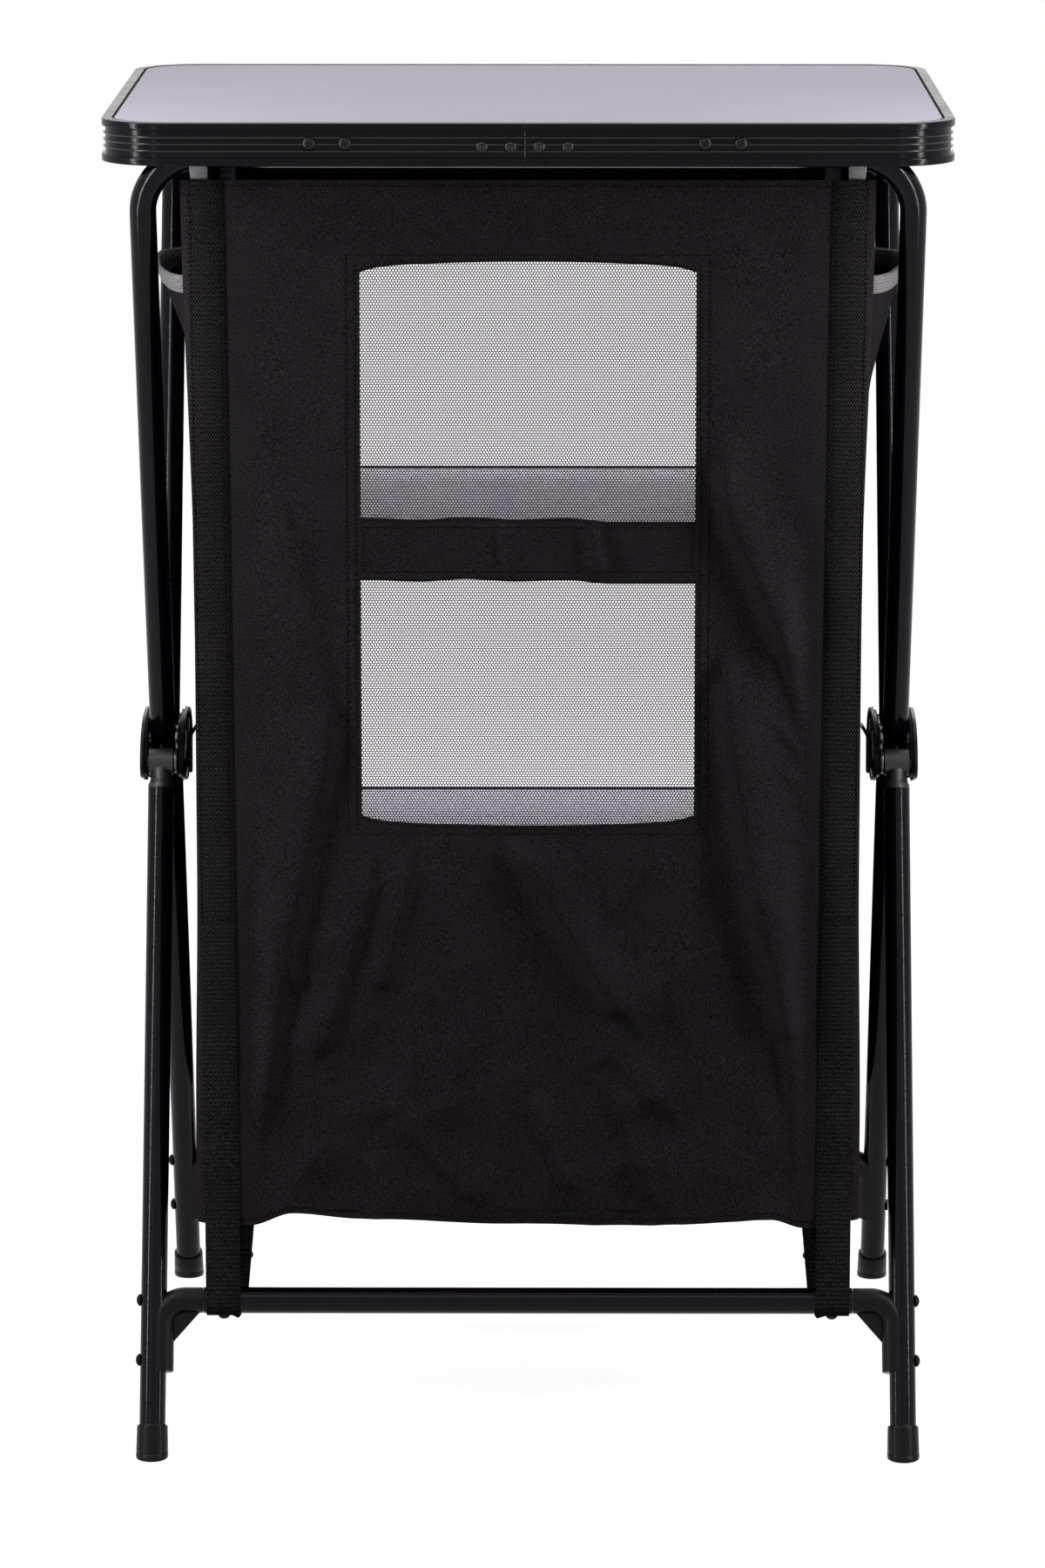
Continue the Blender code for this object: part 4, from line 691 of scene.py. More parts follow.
def rim_stations(steps=24):
    """Places and outward directions round the rim, from one side of its joint to the other."""
    stations = [(JOINT_X + JOINT_SLIT / 2, -HALF_Y, 0, -1)]
    for side, line, start in ((1, -1, -90), (1, 1, 0), (-1, 1, 90), (-1, -1, 180)):
        x, y = side * (HALF_X - RIM_CORNER), line * (HALF_Y - RIM_CORNER)
        stations += [(x + RIM_CORNER * u, y + RIM_CORNER * v, u, v)
                     for u, v in arc(0, 0, 1, start, start + 90, steps)]
    return stations + [(JOINT_X - JOINT_SLIT / 2, -HALF_Y, 0, -1)]


section = rim_section()
rim = skin_piece("rim", [[Vector((x - u * nx, y - u * ny, TOP_Z - w)) for u, w in section]
                         for x, y, nx, ny in rim_stations()],
                 RIM_COAT, "tabletop", ["edge_profile"], "rim_metal", 35)
rim.data.materials.append(RIM_PAINTED_SHADE)
rim.data.materials.append(RIB_PAINTED_HIGHLIGHT)
# Faces on the lip's inner edge get the painted shade strip (index 1); the ribs get their painted
# highlight coat (index 2).
for number, face in enumerate(rim.data.polygons[:-2]):
    (u0, w0), (u1, w1) = (section[(number + k) % len(section)] for k in (0, 1))
    if max(w0, w1) < 0.0003 and min(u0, u1) > LIP_REACH - 0.0018:
        face.material_index = 1
    elif (LIP_BAND < (w0 + w1) / 2 < RIM_HEIGHT - LIP_BAND and max(u0, u1) < RIM_RECESS + 1e-6
          and abs(u1 - u0) > 1e-5):
        face.material_index = 2
print("rim", len(rim.data.polygons), "faces")

# %% [markdown]
# Four rivets and a plate behind hold the rim's joint together, and a fine pale line shows
# the cut metal in its slit. The slit is half a millimetre wide and would only show dark, so
# the line is a thread of bare metal laid in it.

# %% Rim joint
PLATE_HALF, PLATE_HALF_HIGH, PLATE_DROP, PLATE_THICK = 0.045, 0.008, 0.0185, 0.002
RIVET_PITCH, RIVET_DROP, CUT_RADIUS = 0.020, 0.0165, 0.00018
RIM_FACE_Y = HALF_Y - RIM_RECESS + RIB_PROUD + GAP
RIVET_X = [JOINT_X + RIVET_PITCH * (i - 1.5) for i in range(4)]
bm = bmesh.new()
plate_y = -HALF_Y + RIM_WALL + GAP
skin(bm, [[Vector((JOINT_X + u * PLATE_HALF, y, TOP_Z - PLATE_DROP + w * PLATE_HALF_HIGH))
           for u, w in ((-1, -1), (1, -1), (1, 1), (-1, 1))]
          for y in (plate_y, plate_y + PLATE_THICK)])
for x in RIVET_X:
    turn(bm, [(0.0028, -0.0005), (0.0028, 0.0005), (0.0022, 0.0009), (0.0001, 0.0009)],
         Vector((x, plate_y + PLATE_THICK, TOP_Z - RIVET_DROP)), Y_WAY, 24)
soften(finish_piece("rim_joint_plate", bm, RIM_COAT, "tabletop", ["edge_joint_plate"],
                    "rim_metal"), 0.0003)
bm = bmesh.new()
turn(bm, [(CUT_RADIUS, 0.0008), (CUT_RADIUS, RIM_HEIGHT - 0.0008)],
     Vector((JOINT_X, -HALF_Y + RIM_RECESS + GAP, TOP_Z)), -Z_WAY, 12)
finish_piece("rim_cut_edge", bm, CUT_METAL, "tabletop", slot="rim_metal")
repeat_part("rim_rivets", RIVET, [(Vector((x, -RIM_FACE_Y, TOP_Z - RIVET_DROP)), -Y_WAY, X_WAY)
                                  for x in RIVET_X], RIVET_BLACK, "tabletop")
print("rim rivets", len(RIVET_X))

# %% [markdown]
# The tabletop lies on the bows' bars with four moulded seats, each hollowed to fit its bar
# and held from outside by two cross-head screws. The crosses are turned by chance on a real
# one, so here each screw's own place decides how far it is turned.

# %% Bar seats and their screws
SEAT_SPREAD, SEAT_HALF, SEAT_DROP, SEAT_SKIRT = 0.138, 0.020, 0.0096, 0.006
SCREW_HALF_SPACING, SCREW_DROP = 0.0125, 0.014
screw_spots = []
for line in (BACK, FRONT):
    for side in (-1, 1):
        middle = JOINT_X + side * SEAT_SPREAD
        wall, low, high = HALF_Y - RIM_WALL - GAP, BAR_Z - SEAT_SKIRT, TOP_Z - SEAT_DROP
        outline = [(wall, high), (BAR_Y, high)] + arc(BAR_Y, BAR_Z, TUBE_R + GAP, 90, 0, 12)
        outline += [(BAR_Y + TUBE_R + GAP, low), (wall, low)]
        name = "bar_seat" + ending(line, side)
        soften(skin_piece(name + "_look", [[Vector((x, line * y, z)) for y, z in outline]
                                           for x in (middle - SEAT_HALF, middle + SEAT_HALF)],
                          PLASTIC, "tabletop", [name], "black_plastic"), 0.0006)
        for half in (-1, 1):
            slant = 0.6 + middle * 9 + half
            screw_spots.append((
                Vector((middle + half * SCREW_HALF_SPACING, line * RIM_FACE_Y, TOP_Z - SCREW_DROP)),
                line * Y_WAY, Vector((math.cos(slant), 0, math.sin(slant)))))
repeat_part("rim_screws", SCREW, screw_spots, DARK_STEEL, "tabletop")
print("seat screws", len(screw_spots))

# %% [markdown]
# The bows are tubes bent with generous corners; their ends are closed by rounded plugs
# just below the pivots. Rings of points are swept along the path, so a bend stays round.

# %% Upper bows
BOW_BEND, BOW_TAIL, PLUG_R = 0.047, 0.009, 0.0091
for line in (BACK, FRONT):
    link, body = upper[line], "upper_" + LINE_NAME[line]
    half = [(TUBE_X, -BOW_TAIL + run, radius) for run, radius in (
        (-0.0035, 0.0045), (-0.0031, 0.0065), (-0.0018, 0.0083), (-0.0002, PLUG_R), (0, PLUG_R),
        (0.0002, TUBE_R))]
    half += [(TUBE_X, run, TUBE_R) for run in (0.02, 0.2, 0.34)]
    half += [(x, run, TUBE_R) for x, run in
             arc(TUBE_X - BOW_BEND, link.length - BOW_BEND, BOW_BEND, 0, 90, 20)]
    spots = half + [(-x, run, radius) for x, run, radius in reversed(half)]
    name = "upper_bow_" + LINE_NAME[line]
    skin_piece(name + "_look", path_rings([link.at(x, run) for x, run, _ in spots], link.flat,
                                          [radius for _, _, radius in spots], 40),
               BLACK_PAINT, body, [name], "tube_steel", 30)
print("bow rings", len(spots))

# %% [markdown]
# The legs hang from the lower pivots in cast knuckles, each an eye round its pin with a
# plug in the tube, and a crossbar joins each pair just above the feet.

# %% Legs, knuckles, crossbars
CROSSBAR_HALF, LEG_TOP, LEG_TAIL = 0.2347, 0.0213, 0.0172
for line in (BACK, FRONT):
    link, body = lower[line], "lower_" + LINE_NAME[line]
    name = "crossbar_" + LINE_NAME[line]
    ends = (-CROSSBAR_HALF, -0.1, 0.1, CROSSBAR_HALF)
    skin_piece(name + "_look", path_rings([link.at(x, link.run_at(CROSSBAR_Z)) for x in ends],
                                          link.flat, [TUBE_R] * 4, 40),
               BLACK_PAINT, body, [name], "tube_steel")
    for side in (-1, 1):
        end, out = ending(line, side), side * X_WAY
        runs = (LEG_TOP, 0.15, 0.3, link.length - LEG_TAIL)
        skin_piece("leg" + end + "_look", path_rings([link.at(side * TUBE_X, run) for run in runs],
                                                     link.flat, [TUBE_R] * 4, 40),
                   BLACK_PAINT, body, ["leg" + end], "tube_steel")
        bm = bmesh.new()
        low, high = TUBE_X - TUBE_R, TUBE_X + TUBE_R
        turn(bm, [(0.0090, low), (0.00975, low + 0.0007), (0.00975, high - 0.0007),
                  (0.0090, high)], link.pivot, out, 48)
        turn(bm, [(0.0078, 0.0032), (0.0079, 0.0065), (0.0078, 0.0126), (0.0084, 0.0155),
                  (0.0093, 0.0172), (0.0095, 0.0180), (0.0095, 0.0209)],
             link.at(side * TUBE_X, 0), link.along, 40)
        finish_piece("knuckle" + end + "_look", bm, CAST, body, ["knuckle" + end], "cast_grey")
print("leg length", round(link.length, 4))

# %% [markdown]
# A moulded elbow carries each crossbar's end. It follows the bend, is hollowed to sit on
# the leg, has a thin web in its inner corner, and is held by two dome-headed rivets. The
# foot caps are cut level below, so they stand flat on the floor.

# %% Elbows and feet
ELBOW_R, ELBOW_BEND, ELBOW_LOW, ELBOW_INSET = 0.0093, 0.017, 0.057, 0.0055
GUSSET_LEG, GUSSET_OVERLAP, GUSSET_HALF = 0.013, 0.003, 0.0015
FOOT_TOP, ELBOW_RIVETS = 0.0215, (0.105, 0.065)


def elbow(line, side):
    link, end = lower[line], ending(line, side)
    run, tip, down_x = link.run_at(CROSSBAR_Z), link.run_at(ELBOW_LOW), TUBE_X - ELBOW_INSET
    start_x = CROSSBAR_HALF + 0.0008
    spots = [(start_x - 0.0003, run, ELBOW_R - 0.0003), (start_x, run, ELBOW_R)]
    spots += [(x, s, ELBOW_R) for x, s in
              arc(down_x - ELBOW_BEND, run + ELBOW_BEND, ELBOW_BEND, -90, 0, 14)]
    spots += [(down_x, tip - 0.0008, ELBOW_R), (down_x, tip, ELBOW_R - 0.0008)]
    bm = bmesh.new()
    skin(bm, path_rings([link.at(side * x, s) for x, s, _ in spots], link.flat,
                        [r for _, _, r in spots], 36))
    wall, start = down_x - ELBOW_R + GUSSET_OVERLAP, run + ELBOW_R - GUSSET_OVERLAP
    reach = ELBOW_BEND - ELBOW_R + GUSSET_OVERLAP + GUSSET_LEG
    outline = [(wall - reach, start), (wall, start), (wall, start + reach),
               (wall - GUSSET_OVERLAP, start + reach)]
    skin(bm, [[link.at(side * x, s, off) for x, s in outline]
              for off in (-GUSSET_HALF, GUSSET_HALF)])
    finish_piece("elbow" + end + "_look", bm, PLASTIC, "lower_" + LINE_NAME[line],
                 ["elbow" + end], "black_plastic", 35)
    return [(link.at(side * (TUBE_X + TUBE_R + GAP), link.run_at(z)), side * X_WAY, link.along)
            for z in ELBOW_RIVETS]


def foot(line, side):
    link, name = lower[line], "foot" + ending(line, side)
    top = link.run_at(FOOT_TOP)
    rings = []
    for radius, lift in ((0.0108, 0.0), (0.0115, 0.0005), (0.0117, 0.0012), (0.01165, 0.0042),
                         (0.0113, 0.0046), (0.0113, 0.0052), (0.01155, 0.0056), (0.0114, 0.0125)):
        points = ring(link.at(side * TUBE_X, link.length), X_WAY, link.flat, radius, 40)
        rings.append([p - link.along * ((p.z - lift) / link.along.z) for p in points])
    rings += [ring(link.at(side * TUBE_X, top + run), X_WAY, link.flat, radius, 40)
              for run, radius in ((0.0035, 0.0112), (0.0009, 0.0112), (0, 0.0106), (0, 0.0098))]
    skin_piece(name + "_look", rings, PLASTIC, "lower_" + LINE_NAME[line], [name],
               "black_plastic", 35)


for line in (BACK, FRONT):
    rivet_spots = []
    for side in (-1, 1):
        rivet_spots += elbow(line, side)
        foot(line, side)
    repeat_part("elbow_rivets_" + LINE_NAME[line], DOME, rivet_spots, HUB_PAINT,
                "lower_" + LINE_NAME[line])
print("elbow rivets", 2 * len(rivet_spots))

# %% [markdown]
# Each hub is a pair of pressed plates with turned-over rims. The outline comes from the
# same shares as the model's. Straight lines between them would show as corners, so extra
# points are laid on a curve that passes through all of them.

# %% Hub outline
HUB_SHARES = ((0.00, 1.00), (0.27, 0.985), (0.52, 0.93), (0.74, 0.82), (0.90, 0.66),
              (0.985, 0.50), (1.00, 0.38), (0.95, 0.26), (0.82, 0.19), (0.55, 0.12),
              (0.28, 0.03), (0.00, 0.00))
HUB_SHEET, HUB_DEPTH, HUB_WALL = 0.0023, 0.0049, 0.0019
OUTER_X, INNER_X = plate_low.x, low_high("hub_plate_inner_right")[1].x


def smooth_outline(points, steps=4):
    """Extra points on a closed outline, by a curve through the given ones."""
    result, count = [], len(points)
    for i in range(count):
        a, b, c, d = (Vector(points[(i + k) % count]) for k in (-1, 0, 1, 2))
        for t in (j / steps for j in range(steps)):
            result.append(0.5 * ((2 * b) + (c - a) * t + (2 * a - 5 * b + 4 * c - d) * t * t
                                 + (3 * b - a - 3 * c + d) * t ** 3))
    return result


def inset(points, distance):
    count, result = len(points), []
    for i in range(count):
        tangent = (points[(i + 1) % count] - points[i - 1]).normalized()
        result.append(points[i] + distance * Vector((tangent.y, -tangent.x)))
    return result


right = [(u * plate_high.y, plate_low.z + v * (plate_high.z - plate_low.z))
         for u, v in HUB_SHARES]
hub_line = smooth_outline(right + [(-y, z) for y, z in reversed(right[1:-1])])
turning = sum(a.x * b.y - b.x * a.y for a, b in zip(hub_line, hub_line[1:] + hub_line[:1]))
INWARDS = 1 if turning > 0 else -1
print("hub outline", len(hub_line), "points")

# %% [markdown]
# A plate is one outline at several insets and depths, which gives the pressed sheet its
# turned-over rim. Headed pins with washers are the pivots, each turned from one profile,
# and a sprung latch lever with a bent thumb piece swings on each inner plate.

# %% Hub plates, pins and latches
PIVOTS = (("upper", 0.025, 0.486), ("lower", 0.050, 0.472))
LATCH_Z, LATCH_TOP, LATCH_THICK, LATCH_OFF = 0.461, 0.491, 0.002, 0.0008


def hub_plate(name, side, face, out):
    levels = [(0.0005, 0), (0, 0.0005), (0, HUB_DEPTH - 0.0005), (0.0005, HUB_DEPTH),
              (HUB_WALL - 0.0004, HUB_DEPTH), (HUB_WALL, HUB_DEPTH - 0.0004),
              (HUB_WALL, HUB_SHEET + 0.0004), (HUB_WALL + 0.0006, HUB_SHEET)]
    skin_piece(name + "_look", [[Vector((side * (face + out * depth), p.x, p.y))
                                 for p in inset(hub_line, INWARDS * step)]
                                for step, depth in levels],
               HUB_PAINT, "hub", [name], "hub_steel", 50)


def pivot_pin(name, side, y, z):
    low, shoulder, high = INNER_X - HUB_SHEET - GAP, INNER_X + GAP, OUTER_X + HUB_SHEET + GAP
    bm = bmesh.new()
    turn(bm, [(radius, level + off) for level, steps in (
        (low, ((0.0030, -0.0016), (0.0048, -0.0015), (0.0052, -0.0008), (0.0052, 0), (0.004, 0))),
        (shoulder, ((0.004, 0), (0.0083, 0), (0.0085, 0.0003), (0.0085, 0.0023),
                    (0.0083, 0.0026), (0.004, 0.0026))),
        (high, ((0.004, 0), (0.0055, 0), (0.0058, 0.0004), (0.0056, 0.0011), (0.0049, 0.0016),
                (0.0040, 0.0018), (0.0020, 0.0018), (0.0014, 0.0011), (0.0001, 0.0010))))
        for radius, off in steps], Vector((0, y, z)), side * X_WAY, 36)
    finish_piece(name + "_look", bm, STEEL, "hub", [name], "screw_steel", 50)


def latch(name, side):
    face = INNER_X - HUB_DEPTH - LATCH_OFF
    back = face - LATCH_THICK
    levels = [(LATCH_Z + z, 0, half) for z, half in (
        (-0.006, 0.0040), (-0.0055, 0.0052), (-0.004, 0.0058), (0, 0.0064), (0.012, 0.0080))]
    levels += [(LATCH_TOP + z, shift, half) for z, shift, half in (
        (-0.010, 0, 0.0090), (-0.0085, 0.0003, 0.0090), (-0.006, 0.0014, 0.0090),
        (-0.002, 0.0038, 0.0088), (-0.0005, 0.0047, 0.0080), (0, 0.005, 0.0070))]
    bm = bmesh.new()
    skin(bm, [[Vector((side * (x - shift), y, z))
               for x, y in ((back, -half), (face, -half), (face, half), (back, half))]
              for z, shift, half in levels])
    turn(bm, [(0.003, face - 0.001), (0.003, INNER_X)], Vector((0, 0, LATCH_Z)), side * X_WAY, 28)
    finish_piece(name + "_look", bm, HUB_PAINT, name, [name], "hub_steel", 35)


for side in (-1, 1):
    hub_plate("hub_plate_outer_" + SIDE_NAME[side], side, OUTER_X, 1)
    hub_plate("hub_plate_inner_" + SIDE_NAME[side], side, INNER_X, -1)
    for line in (BACK, FRONT):
        for level, y, z in PIVOTS:
            pivot_pin("pivot_pin_" + level + ending(line, side), side, line * y, z)
    latch("latch_" + SIDE_NAME[side], side)
print("frame of the stand done")

# %% [markdown]
# The cloth box. Its back leans out to the bar at the top, its sides have a slight waist,
# and it hangs in broad folds below the windows. One function gives the surface, so panel,
# webbing, net and stitches all lie on the same cloth. A fold runs from one spot to another,
# and its steep side makes the dark line beside the bright one.

# %% The cloth's sizes and its folds
FABRIC = 0.0015
CLOTH_TOP, HEM, CLOTH_HALF = low_high("front_header")[1].z, 0.163, 0.2372
BACK_Y, FRONT_Y = 0.208, 0.200
LEAN_Z, LEAN = CLOTH_TOP - 0.048, 0.007
WAIST_HIGH, WAIST_LOW, WIDE_BELOW = 0.612, 0.420, 0.229
WIDER_TOP, WIDER_LOW = 0.0073, 0.0023
SEAM_INSET, CORNER = 0.0075, 0.009
WINDOW_HALF = 0.1185
UPPER_WINDOW, LOWER_WINDOW = (0.6775, 0.8597), (0.4557, 0.6330)
FOLD_RISE, FOLD_NARROW, LOW_CREASES = 1.95, 0.45, 0.46
FOLDS = (  # from (u, v), to (u, v), rise, width, steep side: 1 right, -1 left
    (0.56, 0.725, 0.78, 0.561, 0.0082, 0.019, -1),
    (0.78, 0.561, 0.88, 0.44, 0.0054, 0.014, -1),
    (0.60, 0.510, 0.70, 0.319, 0.0086, 0.024, -1),
    (0.70, 0.319, 0.80, 0.195, 0.0090, 0.024, -1),
    (0.80, 0.195, 0.86, 0.040, 0.0070, 0.018, -1),
    (-0.70, 0.66, -0.60, 0.50, 0.0022, 0.020, 1),
    (-0.60, 0.478, -0.72, 0.300, 0.0048, 0.022, 1),
    (-0.72, 0.300, -0.82, 0.111, 0.0046, 0.020, 1),
    (-0.82, 0.111, -0.86, 0.037, 0.0030, 0.014, 1),
    (-0.80, 0.290, -0.70, 0.240, 0.0034, 0.010, 1),
    (-0.48, 0.330, -0.62, 0.180, 0.0030, 0.016, 1),
    (-0.03, 0.372, 0.270, 0.215, 0.0076, 0.018, -1),
    (0.38, 0.224, 0.236, 0.165, 0.0022, 0.012, 1),
    (-0.40, 0.095, -0.225, 0.120, 0.0012, 0.014, 1),
    (-0.225, 0.120, 0.222, 0.178, 0.0006, 0.016, 1),
    (0.222, 0.178, 0.40, 0.115, 0.0016, 0.016, -1),
    (-0.39, 0.100, -0.18, 0.030, 0.0014, 0.012, -1),
    (0.28, 0.110, 0.36, 0.030, 0.0018, 0.012, -1),
    (0.02, 0.110, 0.12, 0.040, 0.0020, 0.010, -1),
    (-0.36, 0.340, -0.44, 0.240, 0.0024, 0.013, 1),
    (0.36, 0.350, 0.20, 0.280, 0.0012, 0.012, 1),
    (-0.82, 0.827, -0.88, 0.777, 0.0020, 0.008, 1),
    (0.69, 0.500, 0.84, 0.450, 0.0020, 0.007, -1),
    (0.74, 0.445, 0.85, 0.415, 0.0020, 0.007, -1),
    (0.18, 0.700, 0.23, 0.610, 0.0034, 0.0065, 1),
    (-0.09, 0.700, -0.04, 0.610, 0.0022, 0.007, -1),
)
print("folds", len(FOLDS), "from hem", HEM, "to top", round(CLOTH_TOP, 4))


# %% [markdown]
# A cloth simulation would give other folds than the real ones, and other ones each time, so
# the folds are drawn as soft ridges. Where two meet, the fourth power lets the higher one
# lead without a kink. Noise adds creases, mostly low down, and the cloth lies flat round
# the windows, where it is sewn.


# %% The shape of the cloth
def half_width(z):
    high = smooth((z - WAIST_HIGH) / (CLOTH_TOP - WAIST_HIGH))
    low = smooth((WAIST_LOW - z) / (WAIST_LOW - WIDE_BELOW))
    return CLOTH_HALF + WIDER_TOP * high + WIDER_LOW * low


def fold_spots(fold):
    height = CLOTH_TOP - HEM
    ends = (fold[0:2], fold[2:4])
    start, end = (Vector((u * CLOTH_HALF, HEM + v * height)) for u, v in ends)
    return (start, end - start) + fold[4:]


FOLD_SPOTS = [fold_spots(fold) for fold in FOLDS]


def back_folds(x, z):
    """How far the cloth stands out, in soft ridges and with small creases."""
    spot, total = Vector((x, z)), 0.0
    for start, run, rise, width, steep in FOLD_SPOTS:
        along = min(max((spot - start).dot(run) / run.length_squared, 0), 1)
        away = spot - start - run * along
        if away.length < 2.5 * width:
            right = run.x * (spot - start).y - run.y * (spot - start).x > 0
            narrow = FOLD_NARROW if right == (steep > 0) else 1.0
            total += (FOLD_RISE * rise * math.exp(-(away.length / (width * narrow)) ** 2)) ** 4
    room = smooth((0.200 - abs(x)) / 0.018)
    beside = smooth((abs(x) - WINDOW_HALF) / 0.018 - 0.4)
    below = smooth((LOWER_WINDOW[0] - z) / 0.018 - 0.4)
    between = smooth(min(z - LOWER_WINDOW[1], UPPER_WINDOW[0] - z) / 0.012)
    low = smooth((LOW_CREASES - z) / 0.2)
    creases = noise.fractal(Vector((x * 9, 1.7, z * 6)), 0.9, 2.1, 4) * 0.0016
    creases += noise.noise(Vector((x * 34 + z * 11, 4.0, z * 20))) * 0.0004
    crumple = abs(noise.noise(Vector((x * 21 - z * 6, 7.5, z * 15 + x * 5))))
    creases = creases * (0.35 + 0.65 * low) - crumple * 0.0062 * low
    return (total ** 0.25 * max(beside, below, between) + creases) * room


def plain_back(z):
    """Y of the back cloth's outer side where it hangs flat."""
    return -BACK_Y - LEAN * smooth((z - LEAN_Z) / (CLOTH_TOP - LEAN_Z))


def back_y(x, z):
    return plain_back(z) - back_folds(x, z)


print("cloth stands at", round(back_y(0.15, 0.4), 4), "beside the lower window")

# %% [markdown]
# The windows' edges, the band between them and the hem are not quite straight. Measured
# shares of a small height say how far each runs above or below its straight line.

# %% Curved edges
HEM_SHARES = ((-1.03, -0.50), (-0.84, -0.25), (-0.72, 1.00), (-0.52, 0.40), (-0.03, -0.15),
              (0.31, -0.30), (0.51, -0.10), (0.74, 0.40), (0.84, -0.50), (1.03, -0.80))
BAND_SHARES = ((-1.0, 0.06), (-0.64, -0.42), (-0.37, 0.34), (-0.08, -0.34), (0.235, 0.04),
               (0.495, -1.0), (1.0, -1.0))
HEM_RISE, BAND_RISE, WINDOW_DROP = 0.0068, 0.0024, 0.0038
EDGE_REACH = 0.05


def window_drop(x):
    share = min(1, abs(x) / WINDOW_HALF)
    return WINDOW_DROP * share ** 2 + WINDOW_DROP * share ** 12


def shares_at(shares, u):
    """A smooth line through measured shares."""
    for (u0, rise0), (u1, rise1) in zip(shares, shares[1:]):
        if u <= u1:
            return rise0 + (rise1 - rise0) * smooth((u - u0) / (u1 - u0))
    return shares[-1][1]


def hem_shift(x):
    """How far the lower edge lies above the plain hem."""
    return HEM_RISE * shares_at(HEM_SHARES, x / CLOTH_HALF)


def band_shift(x, z):
    """How far the band between the windows waves up or down; it fades out above and below."""
    away = max(LOWER_WINDOW[1] - z, z - UPPER_WINDOW[0], 0, abs(x) - WINDOW_HALF)
    return BAND_RISE * shares_at(BAND_SHARES, x / WINDOW_HALF) * smooth(1 - away / 0.03)


def bend_rows(x, z):
    """Move heights near a curved window edge, or near the hem, along with it."""
    if z > LOWER_WINDOW[1]:
        reach = 0.02 if z > UPPER_WINDOW[1] else EDGE_REACH
        near = smooth(1 - abs(z - UPPER_WINDOW[1]) / reach)
        return z - window_drop(x) * near + band_shift(x, z)
    near = smooth(1 - abs(z - LOWER_WINDOW[0]) / EDGE_REACH)
    near_hem = smooth(1 - (z - HEM) / EDGE_REACH)
    return z + window_drop(x) * near + hem_shift(x) * near_hem + band_shift(x, z)


print("hem at the middle", round(bend_rows(0, HEM), 4))

# %% [markdown]
# A sheet of cloth is two grids of points joined along every edge.


# %% Cloth helpers
def cloth(bm, outer, inner, is_open=None):
    """A closed sheet between two grids, open where is_open(row, column) says so."""
    rows, columns = len(outer) - 1, len(outer[0]) - 1
    solid = [[not (is_open and is_open(r, c)) for c in range(columns)] for r in range(rows)]
    made = {}

    def vert(layer, r, c):
        if (layer, r, c) not in made:
            made[layer, r, c] = bm.verts.new((outer, inner)[layer][r][c])
        return made[layer, r, c]

    for r in range(rows):
        for c in range(columns):
            if not solid[r][c]:
                continue
            square = ((r, c), (r, c + 1), (r + 1, c + 1), (r + 1, c))
            bm.faces.new([vert(0, *p) for p in square])
            bm.faces.new([vert(1, *p) for p in reversed(square)])
            beyond = ((r - 1, c), (r, c + 1), (r + 1, c), (r, c - 1))
            for i, (r2, c2) in enumerate(beyond):
                if not (0 <= r2 < rows and 0 <= c2 < columns and solid[r2][c2]):
                    a, b = square[i], square[(i + 1) % 4]
                    bm.faces.new((vert(0, *b), vert(0, *a), vert(1, *a), vert(1, *b)))


def squash_cloth(piece):
    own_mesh(piece)


def cloth_piece(name, outer, inner, look, nodes=(), slot="fabric_black", keep=0.205,
                is_open=None):
    """A finished sheet that belongs to the box."""
    bm = bmesh.new()
    cloth(bm, outer, inner, is_open)
    piece = finish_piece(name, bm, look, "hub", nodes, slot, 60)
    squash_cloth(piece)
    return piece


print("cloth helpers ready")

# %% [markdown]
# The back panel is a fine grid that follows the windows' curved edges: its rows are set so
# that one lies on each edge, and bend with it.

# %% Back panel
SIDE_STEPS, MIDDLE_STEPS = 46, 96


def grid_rows():
    """Heights of the grid's rows, and the row numbers of the windows' edges."""
    borders = ((HEM, 110), (LOWER_WINDOW[0], 50), (LOWER_WINDOW[1], 20),
               (UPPER_WINDOW[0], 50), (UPPER_WINDOW[1], 4), (LEAN_Z, 10), (CLOTH_TOP, 0))
    rows, marks = [], {}
    for (low, steps), (high, _) in zip(borders, borders[1:]):
        marks[low] = len(rows)
        rows += spread(low, high, steps)[:-1]
    return rows + [CLOTH_TOP], marks


rows, marks = grid_rows()
outer = []
for z in rows:
    side = spread(WINDOW_HALF, half_width(z) - SEAM_INSET - GAP / 2, SIDE_STEPS)[1:]
    columns = [-x for x in reversed(side)] + spread(-WINDOW_HALF, WINDOW_HALF, MIDDLE_STEPS) + side
    bent = [(x, bend_rows(x, z)) for x in columns]
    outer.append([Vector((x, back_y(x, at), at)) for x, at in bent])
inner = [[p + Y_WAY * FABRIC for p in row] for row in outer]
spans = [(marks[low], marks[high]) for low, high in (LOWER_WINDOW, UPPER_WINDOW)]
back_panel = cloth_piece(
    "back_cloth", outer, inner, CLOTH, ["back_panel"],
    is_open=lambda r, c: (SIDE_STEPS <= c < SIDE_STEPS + MIDDLE_STEPS
                          and any(low <= r < high for low, high in spans)))
print("back cloth", len(back_panel.data.polygons), "faces")

# %% [markdown]
# The net behind each window is real: a Geometry Nodes tree sets six-sided cells, each a
# ring round a hole, on a staggered grid. Pitch and size are the tree's inputs, and the
# hole's share of the cell sets how much of the white shows through.

# %% Net for the windows
NET_PITCH, NET_HOLE_SHARE = 0.0021, 0.70
NET_OVERLAP, NET_BEHIND = 0.006, 0.0018
EVEN_ROWS = 200.5


